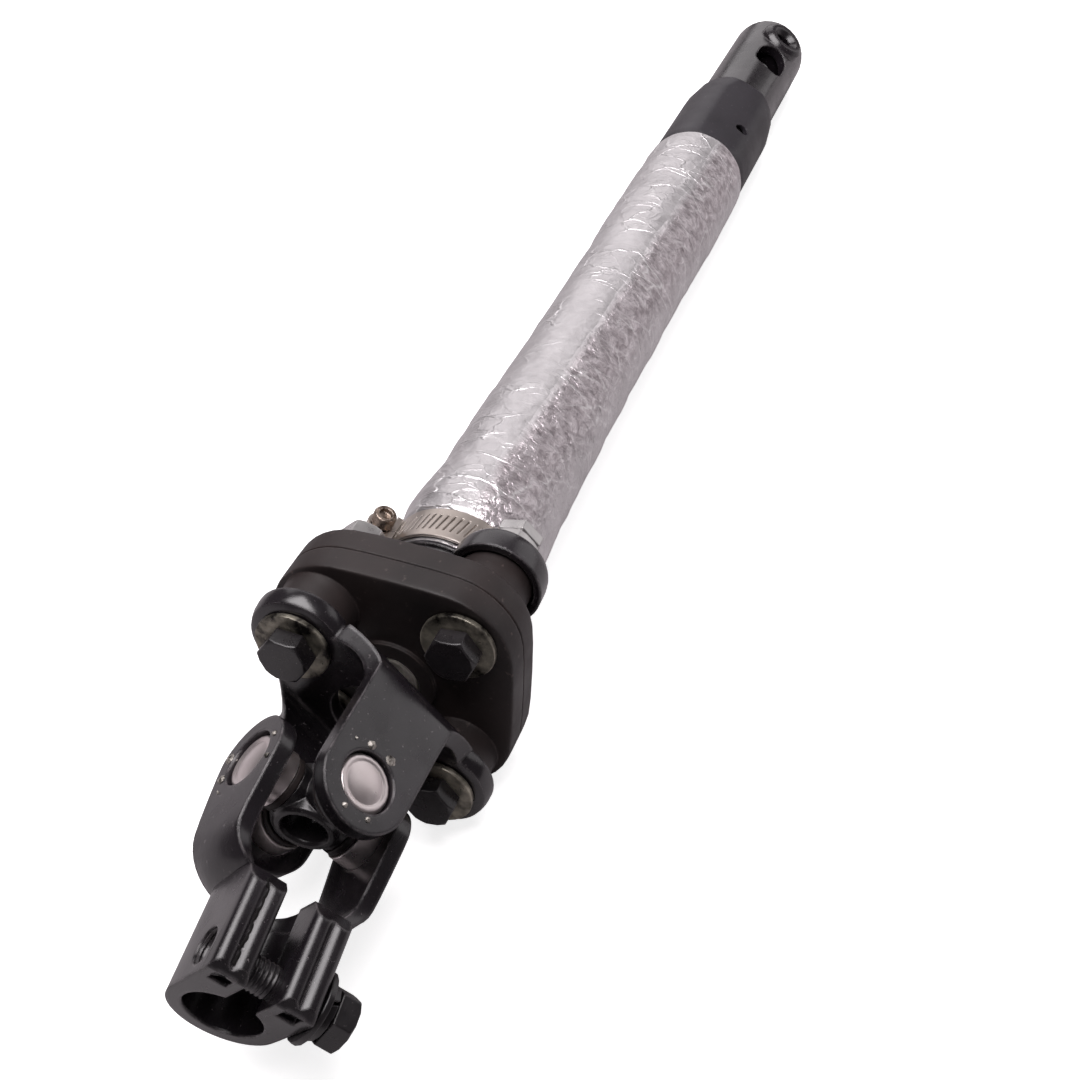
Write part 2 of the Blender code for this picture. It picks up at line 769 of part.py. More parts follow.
def arm_section(share, z):
    """One level of a lower arm: from a flat strap (share 0) to the tube's own curve (share 1)."""
    steps = [-1.0 + 2.0 * i / ARM_COLUMNS for i in range(ARM_COLUMNS + 1)]
    tube_out = CLAMP_R - GAP
    tube_in = CLAMP_BORE_R + GAP
    narrowing = min(1.0, max(0.0, -z / ARM_STRAIGHT))
    half = LOWER_TIP_R + (ARM_WAIST - LOWER_TIP_R) * narrowing

    def point(s, flat_y, radius):
        flat = Vector((half * s, flat_y))
        curved = Vector((radius * sin(ARM_SPREAD * s), radius * cos(ARM_SPREAD * s)))
        mixed = flat.lerp(curved, share)
        return (mixed.x, mixed.y, z)

    outer = [point(s, ARM_OUT, tube_out) for s in steps]
    inner = [point(s, ARM_OUT - SHEET, tube_in) for s in reversed(steps)]
    return outer + inner


def lower_arm(name, side):
    """An arm that runs straight past its cup, then curves in to the clamp's tube."""
    low = CLAMP_TOP
    levels = [(0.0, LOWER_TIP_R + ARM_ABOVE), (0.0, 0.0), (0.0, -ARM_STRAIGHT)]
    for swing in ARM_TURNS:
        fall = sin(radians(swing))
        levels.append((1.0 - cos(radians(swing)), -ARM_STRAIGHT + (low + ARM_STRAIGHT) * fall))
    levels.append((1.0, low - ARM_BELOW))
    item = loft(name, [arm_section(share, z) for share, z in levels])
    tip = arc(0.0, 0.0, LOWER_TIP_R, 0, 180, 14)
    foot = low - ARM_FOOT
    wide = LOWER_TIP_R + ARM_SIDE_ROOM
    outline = tip + [(-wide, 0.0), (-wide, foot), (wide, foot), (wide, 0.0)]
    common(item, turn(prism(name + "_outline", outline, -THROUGH, THROUGH), x=pi / 2))
    if side < 0:
        turn(item, z=pi)
    return item


def lug_corner(name, z, outward, size):
    """A square bar, stood on its edge, that takes the outer corner off both lugs at height z."""
    tool = turn(block(name, (BAR_SIDE, BAR_L, BAR_SIDE), (0.0, 0.0, 0.0)), y=pi / 4)
    away = BAR_SIDE / sqrt(8) - size / 2
    return shift(tool, LUG_TOP + away, 0.0, z + outward * away)


def lug_pocket(side):
    """The gap between a lug's doubled sheets, open at the clamp's end."""
    near = CLAMP_SLOT / 2 + POCKET_WALL
    far = CLAMP_R - POCKET_WALL
    top = LUG_TOP - POCKET_WALL
    outline = [(POCKET_START, side * near), (top, side * near)]
    outline += [(top, side * far), (POCKET_START, side * far)]
    if side < 0:
        outline.reverse()
    return prism("lug_pocket", outline, CLAMP_END - POCKET_H, CLAMP_END + POCKET_H)


def web():
    """The clamp's back wall, raised between the arms, with a round valley."""
    wall = ring("web", CLAMP_R - LAP, CLAMP_BORE_R + LAP, CLAMP_TOP - LAP, CLAMP_TOP + WEB_H, ROUND)
    front = (CLAMP_R - POCKET_WALL, 0.0, CLAMP_TOP)
    cut(wall, block("web_front", (2 * CLAMP_R, 4 * CLAMP_R, 4 * WEB_H), front))
    valley = along_x(cylinder("valley", VALLEY_R, -2 * CLAMP_R, 2 * CLAMP_R, MEDIUM))
    return solid_of(cut(wall, shift(valley, z=CLAMP_TOP + VALLEY_LOW + VALLEY_R)))


def make_lower_yoke():
    clamp = prism("clamp", clamp_outline(), CLAMP_END, CLAMP_TOP)
    cut(clamp, lug_pocket(1), lug_pocket(-1))
    cut(clamp, lug_corner("lug_chamfer", CLAMP_END, -1, LUG_CHAMFER))
    cut(clamp, lug_corner("lug_shoulder", CLAMP_TOP, 1, LUG_SHOULDER))
    pinch_hole = along_y(cylinder("pinch_hole", HOLE_R, -THROUGH, THROUGH, FINE))
    thread = along_y(cylinder("thread_run_out", THREAD_R, -THROUGH, -CLAMP_R + PINCH_SHORT, SMALL))
    cut(clamp, shift(pinch_hole, PINCH_OFF, 0.0, PINCH_Z), shift(thread, PINCH_OFF, 0.0, PINCH_Z))
    item = turn(solid_of(clamp), z=CLAMP_TURN)
    join(item, web())
    join(item, solid_of(lower_arm("right_arm", 1)), solid_of(lower_arm("left_arm", -1)))
    cut(item, along_y(cylinder("lower_cups", CUP_R + GAP, -THROUGH, THROUGH, MEDIUM)))
    return finish(item, "lower_clamp_yoke", BLACK, LOWER)


def make_pinch_bolt():
    """The bolt lies across the clamp, with its head on the right lug and its end deep in the left one."""
    washer_seat = CLAMP_R + GAP
    spring_seat = washer_seat + WASHER_H + GAP
    head_seat = spring_seat + SPRING_H + GAP
    bolt = turn(linked("pinch", bolt_mesh("pinch_blank", head_seat + CLAMP_R - PINCH_SHORT)), x=pi / 2)
    shift(bolt, PINCH_OFF, head_seat, PINCH_Z)
    finish(turn(bolt, z=CLAMP_TURN), "pinch_bolt", BLACK, LOWER)
    spring = ring("spring_washer", SPRING_R, HOLE_R, 0.0, SPRING_H, SMALL)
    split = block("washer_split", (SPRING_R, SPRING_SPLIT, 4 * SPRING_H), (SPRING_R, 0.0, 0.0))
    spring = solid_of(cut(spring, turn(split, x=SPRING_SPLIT_TURN)))
    washer = ring("washer", PINCH_WASHER_R, HOLE_R, 0.0, WASHER_H, MEDIUM)
    for item, name, seat in ((washer, "pinch_washer", washer_seat), (spring, "spring_washer", spring_seat)):
        turn(item, x=-pi / 2)
        shift(item, PINCH_OFF, seat, PINCH_Z)
        finish(turn(item, z=CLAMP_TURN), name, BLACK, LOWER)


# Rubber coupling
def disc_outline(inset=0.0):
    """A square with round corners, its flats square to x and y."""
    reach = DISC_FLAT - DISC_CORNER_R
    radius = DISC_CORNER_R - inset
    points = []
    for quarter, (sx, sy) in enumerate(((1, 1), (-1, 1), (-1, -1), (1, -1))):
        points += arc(sx * reach, sy * reach, radius, quarter * 90, quarter * 90 + 90, 5)
    return points


def boss(name, foot, top, around):
    """A moulded boss from the disc's face to its flange; foot and top are heights."""
    x = BOLT_CIRCLE * cos(radians(around))
    y = BOLT_CIRCLE * sin(radians(around))
    rise = 1 if top > foot else -1
    root = foot - rise * BOSS_FLARE_H
    flare = foot + rise * BOSS_FLARE_H
    profile = [(0.0, top), (BOSS_R, top), (BOSS_R, flare), (BOSS_R + BOSS_FLARE, root), (0.0, root)]
    if rise < 0:
        profile.reverse()
    return shift(turn(turned(name, profile, SMALL), z=pi / SMALL), x, y)


def make_rubber():
    item = prism("rubber", disc_outline(), DISC_LOW, DISC_TOP)
    rounded(item, DISC_EDGE, angle=DISC_SHARP)
    middle = (DISC_LOW + DISC_TOP) / 2
    groove = prism("seam", disc_outline(-SEAM), middle - SEAM / 2, middle + SEAM / 2)
    cut(groove, prism("seam_core", disc_outline(SEAM), middle - SEAM, middle + SEAM))
    cut(item, solid_of(groove))
    item = turn(solid_of(item), z=pi / 4)
    for around in (-90.0, 90.0):
        join(item, boss("lower_boss", DISC_LOW, FLANGE_TOP + GAP, around))
    for around in (0.0, 180.0):
        join(item, boss("upper_boss", DISC_TOP, UPPER_FLANGE_LOW - GAP, around))
    join(item, cylinder("disc_collar", COLLAR_R, DISC_LOW - COLLAR_H, DISC_TOP + COLLAR_H, MEDIUM))
    below = FLANGE_LOW
    above = UPPER_FLANGE_TOP
    cut(item, cylinder("disc_eye", PIN_R + GAP, below, above, MEDIUM))
    for first in (0.0, 90.0):
        cut(item, *bolt_holes("bush_seat", BUSH_R + GAP, below, above, first))
    return finish(item, "rubber_coupling", RUBBER, SHAFT)


def bushes():
    """Steel spacers in the bosses, which take the bolts' clamping load."""
    spans = {"a": (FLANGE_TOP, DISC_TOP), "b": (DISC_LOW, UPPER_FLANGE_LOW)}
    spans["c"] = spans["a"]
    spans["d"] = spans["b"]
    for number, letter in enumerate("abcd"):
        low, high = spans[letter]
        around = radians(-90.0 + 90.0 * number)
        bush = ring("bush", BUSH_R, HOLE_R, low + GAP, high - GAP if letter in "bd" else high, FINE)
        where = (BOLT_CIRCLE * cos(around), BOLT_CIRCLE * sin(around), 0.0)
        finish(bush, "bush_" + letter, STEEL, SHAFT, where)


# Tube, hub, pin and sleeve
def make_upper_flange():
    """The pressed flange that carries the tube; its ears lie a quarter turn from the lower flange's."""
    item = solid_of(dish("upper_flange", hub_outline, UPPER_RIM, HUB_PLATE_R - RIM))
    turn(item, x=pi, z=pi / 2)
    shift(item, z=UPPER_FLANGE_TOP)
    fillet = turned(
        "weld_fillet",
        [
            (0.0, UPPER_FLANGE_TOP + FILLET_H),
            (TUBE_R + GAP + LAP, UPPER_FLANGE_TOP + FILLET_H),
            (TUBE_R + FILLET_W, UPPER_FLANGE_TOP),
            (TUBE_R + FILLET_W, UPPER_FLANGE_TOP - LAP),
            (0.0, UPPER_FLANGE_TOP - LAP),
        ],
    )
    join(item, fillet)
    below = UPPER_FLANGE_LOW - SHEET
    above = UPPER_FLANGE_TOP + SHEET
    cut(item, cylinder("tube_seat", TUBE_R + GAP, below, above, ROUND))
    cut(item, *bolt_holes("hub_bolt", HOLE_R, below, above, 0.0))
    return finish(item, "upper_flange", BLACK, SHAFT)


def tube_section(z, wide, flat, segments=ROUND):
    """A round section that may be flattened on two sides, square to FORM_TURN."""
    points = []
    for i in range(segments):
        a = 2 * pi * i / segments
        radius = min(wide, flat / max(1e-6, abs(cos(a - FORM_TURN))))
        points.append((radius * cos(a), radius * sin(a), z))
    return points


def make_tube():
    """The long tube: round along the sleeve, pressed to two flats above it, and tapered at its mouth."""
    levels = (
        (TUBE_LOW, TUBE_R, TUBE_R),
        (FORM_START, TUBE_R, TUBE_R),
        (FORM_START + FORM_STEP, FORM_WIDE, FORM_FLAT),
        (TUBE_TOP - FORM_TAPER, FORM_WIDE, FORM_FLAT),
        (TUBE_TOP, TUBE_R - MOUTH_IN, FORM_FLAT),
    )
    item = loft("outer_tube", [tube_section(*level) for level in levels])
    cut(item, cylinder("tube_bore", TUBE_BORE_R, TUBE_LOW - PAST, TUBE_TOP + PAST, ROUND))
    dimple = along_x(cylinder("dimple", DIMPLE_R, TUBE_BORE_R - TUBE_WALL, DIMPLE_REACH, FINE))
    cut(item, shift(dimple, z=TUBE_TOP - DIMPLE_DOWN))
    return finish(item, "outer_tube", BLACK, SHAFT)


def make_pin():
    """A plug in the tube's lower end with a pin through the disc, which keeps both flanges on one axis."""
    plug_low = TUBE_LOW + PIN_EDGE
    profile = [
        (0.0, plug_low + PIN_PLUG_H),
        (TUBE_BORE_R - GAP, plug_low + PIN_PLUG_H),
        (TUBE_BORE_R - GAP, plug_low),
        (PIN_R, plug_low),
        (PIN_R, PIN_LOW + PIN_EDGE),
        (PIN_R - PIN_EDGE, PIN_LOW),
        (0.0, PIN_LOW),
    ]
    return finish(turned("centre_pin", profile, MEDIUM), "centre_pin", ZINC, SHAFT)


def sleeve_section(z, proud):
    """A wrapped sheet seen along z: one edge laps over the other, and the loose parts stand off the tube."""
    radius = SLEEVE_IN + SLEEVE_WALL + proud
    points = []
    for i in range(ROUND + 1):
        share = i / ROUND
        around = SLEEVE_LAP_AT + 2 * pi * share
        lapped = radius + min(proud, SLEEVE_LAP) * max(0.0, 1.0 - SLEEVE_LAP_FADE * share)
        points.append((lapped * cos(around), lapped * sin(around), z))
    return points


def make_sleeve():
    """Foil round the tube: tight under the hose clamp, puffed out above it, a little loose beyond."""
    band_top = BAND_LOW + BAND_W
    length = SLEEVE_TOP - band_top
    levels = [(SLEEVE_LOW, 0.0), (band_top + GAP, 0.0)]
    levels += [(band_top + above, SLEEVE_PUFF * share) for above, share in SLEEVE_PUFFS]
    levels += [(band_top + length * share, SLEEVE_LOOSE) for share in SLEEVE_CALM]
    levels += [(SLEEVE_TOP - SLEEVE_FOLD, SLEEVE_LOOSE * SLEEVE_FOLD_SHARE)]
    levels += [(SLEEVE_TOP, SLEEVE_LOOSE * SLEEVE_MOUTH_SHARE)]
    item = loft("foil_sleeve", [sleeve_section(z, proud) for z, proud in levels])
    cut(item, cylinder("sleeve_bore", SLEEVE_IN, SLEEVE_LOW - LAP, SLEEVE_TOP + LAP, ROUND))
    return finish(item, "foil_sleeve", FOIL, SHAFT)


# Hose clamp
def band_slots():
    """Slanted slots all round the band, apart from the part under the housing."""
    shape = bmesh.new()
    middle = BAND_LOW + BAND_W / 2
    step = 2 * pi / BAND_SLOTS
    for i in range(3, BAND_SLOTS - 2):
        around = HOUSING_AT + i * step
        made = bmesh.ops.create_cube(shape, size=1.0)["verts"]
        bmesh.ops.scale(shape, verts=made, vec=(6 * BAND_T, BAND_SLOT_W, BAND_SLOT_L))
        matrix = Euler((BAND_SLOT_TILT, 0.0, around)).to_matrix()
        bmesh.ops.rotate(shape, verts=made, cent=(0.0, 0.0, 0.0), matrix=matrix)
        where = (BAND_R * cos(around), BAND_R * sin(around), middle)
        bmesh.ops.translate(shape, verts=made, vec=where)
    mesh = bpy.data.meshes.new("band_slots")
    shape.to_mesh(mesh)
    shape.free()
    return linked("band_slots", mesh)


def hose_clamp():
    middle = BAND_LOW + BAND_W / 2
    band = ring("hose_band", BAND_R + BAND_T, BAND_R, BAND_LOW, BAND_LOW + BAND_W, ROUND)
    cut(band, band_slots())
    finish(band, "hose_band", BAND, SHAFT)
    # The housing and its screw are made with the radius along +x and the screw along y
    shell_r = WORM_R + GAP + HOUSING_WALL
    foot = shell_r + HOUSING_FOOT
    sole = HOUSING_SEAT + HOUSING_WALL
    roof = arc(WORM_OFF, 0.0, shell_r, -90, 90, 10)
    outline = [(HOUSING_SEAT - HOUSING_WALL, -foot), (sole, -foot), (sole, -shell_r)] + roof
    outline += [(sole, shell_r), (sole, foot), (HOUSING_SEAT - HOUSING_WALL, foot)]
    housing = turn(prism("clamp_housing", outline, -HOUSING_L / 2, HOUSING_L / 2), x=pi / 2)
    bore = along_y(cylinder("worm_bore", WORM_R + GAP, -HOUSING_L, HOUSING_L, SMALL))
    cut(housing, shift(bore, x=WORM_OFF))
    cut(housing, cylinder("band_room", HOUSING_SEAT, -HOUSING_L, HOUSING_L, ROUND))
    housing = solid_of(housing)
    finish(housing, "clamp_housing", BAND, SHAFT, (0.0, 0.0, middle), (0.0, 0.0, HOUSING_AT))
    head_low = HOUSING_L / 2 + GAP
    top = head_low + WORM_HEAD_H
    screw = cylinder("clamp_screw", WORM_R, -head_low, head_low + LAP, SMALL)
    join(screw, hexagon("worm_head", WORM_HEAD_FLATS, head_low, top))
    slot = (DRIVER_SLOT_W, 2 * WORM_HEAD_FLATS, 2 * DRIVER_SLOT_H)
    cut(screw, block("driver_slot", slot, (0.0, 0.0, top)))
    screw = shift(along_y(solid_of(screw)), x=WORM_OFF)
    finish(screw, "clamp_screw", BAND, SHAFT, (0.0, 0.0, middle), (0.0, 0.0, HOUSING_AT))


# Telescoping socket end
def window(name):
    """A slot with round ends, cut through the wall on the boss's side."""
    half = WINDOW_W / 2
    high = SLIDER_TOP - WINDOW_DOWN - half
    low = high - WINDOW_L + WINDOW_W
    outline = arc(0.0, high, half, 0, 180, 8) + arc(0.0, low, half, 180, 360, 8)
    return shift(seen_along_x(name, outline, SLIDER_R), x=SLIDER_R)


def make_socket_end():
    """The tube that slides in the outer one: a round tip, a socket, a window and a collared bolt hole."""
    top = SLIDER_TOP
    tip = arc(SLIDER_R - TIP_ROUND, top - TIP_ROUND, TIP_ROUND, 90, 0, 5)
    step = top - SOCKET_L
    inside = [(SLIDER_BORE_R, SLIDER_LOW), (SLIDER_BORE_R, step)]
    inside += [(SOCKET_BORE_R, step), (SOCKET_BORE_R, top)]
    item = turned("socket_end", tip + [(SLIDER_R, SLIDER_LOW)] + inside, ROUND, closed=True)
    pad = turned(
        "boss_pad",
        [
            (0.0, BOSS_FACE),
            (BOSS_PAD_R - BOSS_PAD_EDGE, BOSS_FACE),
            (BOSS_PAD_R, BOSS_FACE - BOSS_PAD_EDGE),
            (BOSS_PAD_R, SLIDER_BORE_R + GAP),
            (0.0, SLIDER_BORE_R + GAP),
        ],
        MEDIUM,
    )
    join(item, shift(along_x(pad), z=BOSS_Z))
    cut(item, window("window"))
    hole = cylinder("cross_bolt_hole", BOSS_HOLE_R, -2 * SLIDER_R, 2 * SLIDER_R, SMALL)
    cut(item, shift(along_x(hole), z=BOSS_Z))
    depth = BOSS_SINK_R - BOSS_HOLE_R
    wide = BOSS_SINK_R + depth
    sink = cylinder("countersink", BOSS_HOLE_R, BOSS_FACE - depth, BOSS_FACE + depth, SMALL, wide)
    cut(item, shift(along_x(sink), z=BOSS_Z))
    item = turn(solid_of(item), z=BOSS_TURN)
    shift(item, z=-TUBE_TOP)
    return finish(item, "socket_end", BLACK, SLIDE)


def rest_on_floor():
    """Moves the shaft so that its box stands on the floor with its middle over the origin."""
    bpy.context.view_layer.update()
    graph = bpy.context.evaluated_depsgraph_get()
    low = Vector((1e9, 1e9, 1e9))
    high = -low
    for item in PARTS.objects:
        if item.type != "MESH":
            continue
        done = item.evaluated_get(graph)
        mesh = done.to_mesh()
        for vertex in mesh.vertices:
            point = done.matrix_world @ vertex.co
            low = Vector(map(min, low, point))
            high = Vector(map(max, high, point))
        done.to_mesh_clear()
    SHAFT.location -= Vector(((low.x + high.x) / 2, (low.y + high.y) / 2, low.z))
    bpy.context.view_layer.update()


make_lower_yoke()
make_pinch_bolt()
make_cross()
bearings()
make_upper_yoke()
make_rubber()
bushes()
coupling_fasteners()
make_upper_flange()
make_tube()
make_pin()
make_sleeve()
hose_clamp()
make_socket_end()
rest_on_floor()
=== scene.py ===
"""A steering column shaft lying on a white floor, seen from its clamp end."""

import json
from math import cos, pi, radians, sin

import bpy
from mathutils import Matrix, Vector

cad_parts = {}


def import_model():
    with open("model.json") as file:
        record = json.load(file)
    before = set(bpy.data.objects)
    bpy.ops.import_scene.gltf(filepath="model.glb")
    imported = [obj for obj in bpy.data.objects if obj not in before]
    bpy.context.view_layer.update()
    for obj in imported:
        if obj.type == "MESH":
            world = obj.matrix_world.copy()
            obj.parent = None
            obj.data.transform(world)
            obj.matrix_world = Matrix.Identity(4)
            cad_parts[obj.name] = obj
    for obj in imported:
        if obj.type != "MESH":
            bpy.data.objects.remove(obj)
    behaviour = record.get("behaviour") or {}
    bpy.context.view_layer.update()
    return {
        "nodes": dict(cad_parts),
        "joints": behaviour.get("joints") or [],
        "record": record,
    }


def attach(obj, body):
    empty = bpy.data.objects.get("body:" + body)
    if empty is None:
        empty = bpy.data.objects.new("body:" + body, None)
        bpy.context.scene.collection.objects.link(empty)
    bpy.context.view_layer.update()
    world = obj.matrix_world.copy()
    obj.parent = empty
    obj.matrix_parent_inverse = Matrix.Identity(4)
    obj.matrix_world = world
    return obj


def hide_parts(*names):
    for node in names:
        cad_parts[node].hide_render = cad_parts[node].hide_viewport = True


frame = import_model()
BODY_OF = {node: body for body, nodes in frame["record"]["behaviour"]["bodies"].items() for node in nodes}
JOINTS = {joint["name"]: joint for joint in frame["joints"]}
QUARTER = pi / 2

# Camera, in the shaft's own frame
LENS = 52.0
SENSOR = 36.0
CAMERA_AT = Vector((0.30871, -0.12529, -0.22937))
CAMERA_RIGHT = Vector((0.69149, 0.64245, 0.33030))
CAMERA_DOWN = Vector((-0.37392, 0.70954, -0.59728))
CAMERA_NEAR = 0.01
CAMERA_FAR = 10.0

# Rest bend of the lower yoke about the cross
YOKE_BEND = radians(3.0)

# Rounding of edges, and what counts as sharp, smooth, flat and square
EDGE = 0.0007
RUBBER_EDGE = 0.0008
HARDWARE_EDGE = 0.0003
FINE_EDGE = 0.0002
SEAL_EDGE = 0.00015
SHARP = radians(32.0)
SMOOTH = radians(50.0)
FLAT = radians(1.2)
SQUARE = 0.99
WELD = 0.00002

# Size of the plane that a drawn profile starts from, before it shrinks to a point
SEED = 0.001

# Foil wrap, radii and heights along the shaft
WRAP_PROFILE = [
    (0.0202, 0.0859),
    (0.0203, 0.0875),
    (0.0203, 0.0990),
    (0.0216, 0.1015),
    (0.0224, 0.1100),
    (0.0223, 0.1200),
    (0.0214, 0.1350),
    (0.0213, 0.1700),
    (0.0207, 0.2000),
    (0.0206, 0.2800),
    (0.0213, 0.3000),
    (0.0215, 0.3400),
    (0.0214, 0.3650),
    (0.0212, 0.3710),
]
WRAP_STEPS = 176
WRAP_CUTS = 26
WRAP_INSIDE = 0.945
WRAP_SMOOTH = radians(40.0)

# Lumps in the foil: their size, their height and how the folds lie
PUFF_SIZE = 0.020
PUFF_H = 0.0012
FOLD_SIZE = 0.011
FOLD_H = 0.0003
FOLD_SQUEEZE = (1.35, 1.35, 0.95)
FOLD_TURN = (0.55, -0.35, 0.3)
NICK_SIZE = 0.0042
NICK_H = 0.00018
CELL_EDGES = {"weight_1": -1.0, "weight_2": 1.0}

# Line that parts the foil's calm side from its crumpled one, in radians round the shaft; past it the
# crumpled side is painted darker as shade, and that painted shade fades out again further round
RIDGE_LOW = radians(-44.0)
RIDGE_TURN = radians(76.0)
RIDGE_SWAY = 0.12
RIDGE_BLUR = (-0.05, 0.10)
CALM_SIDE = 0.22
CALM_START = 1.2
SHADE_END = (0.60, 1.10)
SHADE_LEFT = 0.15

# Creases, facets and stains of the foil, as counts to the metre
SWAYS = 90.0
RIDGE_FRAYS = 45.0
LARGE_CREASES = 75.0
MEDIUM_CREASES = 150.0
FACETS = 170.0
RUMPLES = 290.0
STAINS = 60.0
CREASE_PATCHES = 48.0
GLOSS_PATCHES = 150.0

# How the creases lie and sway, how wide each kind is in its cell, and how strongly the large ones are
# lightened by a painted highlight
CREASE_SQUEEZE = (0.70, 0.70, 1.25)
CREASE_TURN = (0.5, -0.4, 0.2)
CREASE_SWAY = 0.010
FACET_SWAY = 0.006
LARGE_WIDTH = 0.045
MEDIUM_WIDTH = 0.07
FACET_WIDTH = 0.14
CREASE_SHINE = 0.6

# Strength and depth of the foil's bumps
LARGE_BUMP = (0.55, 0.0006)
MEDIUM_BUMP = (0.30, 0.0004)
FACET_BUMP = (0.28, 0.0005)
RUMPLE_BUMP = (0.90, 0.0016)

# Colours of the foil: its own tone, the painted shade of its crumpled side, and a painted highlight on its
# large creases
FOIL_DARK = (0.64, 0.63, 0.635)
FOIL_LIGHT = (0.78, 0.77, 0.775)
CRUMPLE_PAINTED_SHADE_DARK = (0.36, 0.32, 0.335)
CRUMPLE_PAINTED_SHADE_LIGHT = (0.74, 0.69, 0.71)
CREASE_PAINTED_HIGHLIGHT = (0.97, 0.96, 0.96)
FOIL_ROUGH = (0.34, 0.50)
FOIL_METAL = 0.94

# Bearing cups
CUP_RIM = 0.0010
CUP_GROOVE = 0.00035
CUP_GROOVE_DEEP = 0.00028
CUP_SLOPE = 0.00056
CUP_SLOPE_H = 0.00021
CUP_EDGE = 0.000315
CUP_DOME = [(0.0012, 0.00022), (0.0012, 0.00016), (0.0012, 0.00010), (0.0010, 0.00004)]

# Punch marks that keep the cups in: turn in degrees, distance from the cup's middle and size
ARM_FACE = 0.0220
STAKES = [
    (204.0, 0.0094, 1.9),
    (166.0, 0.0094, 2.1),
    (347.0, 0.0098, 1.2),
    (31.0, 0.0094, 1.2),
    (230.0, 0.0112, 0.6),
]
STAKE_SIDES = 7
STAKE_R = 0.0009
STAKE_TIP_R = 0.0003
STAKE_H = 0.0009
STAKE_LEAN = radians(-28.0)
STAKE_EDGE = 0.00012
STAKE_OUT = 0.0001

# Clamp's turn about the lower yoke, its pinch bolt and the threads: root, crest, start and length
CLAMP_TURN = radians(-8.0)
PINCH_AT = (0.0118, 0.0, -0.0508)
PITCH = 0.00125
MALE_THREAD = (0.0036, 0.00425, -0.0088, 0.0125)
FEMALE_THREAD = (0.00486, 0.00435, -0.0136, 0.0090)
THREAD_VALLEY = 0.3
THREAD_STEPS = 28
THREAD_SHARP = radians(30.0)

# Dark strip of painted shade in the folded seam between the beads of the left lug
SEAM_AT = (0.0207, -0.0092, -0.0440)
SEAM_L = 0.0228
SEAM_W = 0.0007
SEAM_DEEP = 0.0007
SEAM_STEPS = 48
SEAM_WAVE = 0.0022
SEAM_SWAY = 0.0024

# Hose clamp
BAND_IN = 0.0206
BAND_OUT = 0.0214
BAND_LOW = 0.0869
BAND_HIGH = 0.0995
BAND_MARGIN = 0.0026
BAND_SLOTS = 62
BAND_LEAN = radians(-4.0)
SLOT_EDGE = 0.00025
SLOT_WALL = 0.000025
SLOT_DEEP = 0.0006
HOUSING_AT = radians(-114.0)
SCREW_OFF = 0.0257
SCREW_Z = 0.0932
SCREW_STEPS = 32
SCREW_PROFILE = [
    (0.0, -0.0063),
    (0.0025, -0.0063),
    (0.0025, 0.0064),
    (0.0029, 0.0064),
    (0.0035, 0.0069),
    (0.0035, 0.0098),
    (0.0031, 0.0105),
    (0.0021, 0.0105),
    (0.0018, 0.0092),
    (0.0, 0.0086),
]

# Collar on top of a lock nut
COLLAR_SIDES = 6
COLLAR_PROFILE = [
    (0.0044, 0.0),
    (0.0070, 0.0),
    (0.0074, 0.0004),
    (0.0074, 0.0040),
    (0.0068, 0.0046),
    (0.0044, 0.0046),
]
COLLAR_AT = (0.0286, 0.0, 0.0920)

# Patterns of a finish, as multiples of its own grain, and the heights of its bumps
MOTTLE = 0.2
GLOSS = 0.6
FRAY = 1.6
DUST = 5.0
FINE_GRAIN = 6.0
BROAD_BUMP = 0.0004
FINE_BUMP = 0.0001
FINE_SHARE = 0.5

# Bands of a noise that turn into a pattern: none of it below, all of it above
EVEN_BAND = (0.30, 0.70)
MOTTLE_BAND = (0.35, 0.68)
FRAY_BAND = (0.35, 0.60)
DUST_BAND = (0.66, 0.78)
PATCH_BAND = (0.40, 0.56)
RUMPLE_BAND = (0.32, 0.68)

# Where wear starts and is full, as the match of the rounded normal with the flat one
WEAR_START = 0.92
WEAR_FULL = 0.70
DUST_SHARE = 0.35
WORN_R = 0.0006
BEVEL_SAMPLES = 5

# Colour sockets of a Mix node
MIX_FIRST = 6
MIX_SECOND = 7
MIX_RESULT = 2

# Floor
FLOOR_SIZE = 8.0
FLOOR_GRAIN = 40.0
FLOOR_DARK = (0.80, 0.80, 0.80)
FLOOR_LIGHT = (0.82, 0.82, 0.82)
FLOOR_GLOW = 0.78
FLOOR_MIRRORED = (0.45, 0.43, 0.44, 1.0)

# Lights: name, place, width, height and power
ROSY = (1.0, 0.960, 0.977)
LIT_POINT = Vector((0.0, 0.0, 0.03))
LIGHTS = (
    ("top_light", Vector((-0.15, 0.15, 1.25)), 1.30, 0.90, 21.0),
    ("back_left_light", Vector((1.15, 0.52, 0.60)), 1.35, 1.00, 4.2),
    ("back_right_light", Vector((0.92, -0.80, 0.50)), 1.10, 0.95, 2.7),
)

# What the part mirrors, and what the camera sees behind it
SURROUNDINGS = (0.075, 0.068, 0.072)
BACKDROP = (1.0, 1.0, 1.0)

# CAD nodes by how they are finished
PRESSED = ("lower_clamp_yoke", "upper_yoke", "upper_flange")
WASHERS = ("washer_a", "washer_b", "washer_c", "washer_d", "nut_washer_a", "nut_washer_c")
NUTS = ("nut_a", "nut_b", "nut_c", "nut_d")
SEALS = ("seal_near", "seal_far", "seal_left", "seal_right")
BOLTS = ("bolt_a", "bolt_b", "bolt_c", "bolt_d", "pinch_bolt", "pinch_washer", "spring_washer")
SPACERS = ("bush_a", "bush_b", "bush_c", "bush_d", "centre_pin")


def shaft_frame():
    """The shaft's axes: x and y through its bolts, z towards the socket end."""
    across = Vector(JOINTS["cross_swing"]["axis"])
    along = Vector(JOINTS["socket_slide"]["axis"])
    side = along.cross(across)
    place = Matrix((across, side, along)).transposed().to_4x4()
    place.translation = Vector(JOINTS["cross_swing"]["pos_m"])
    return place


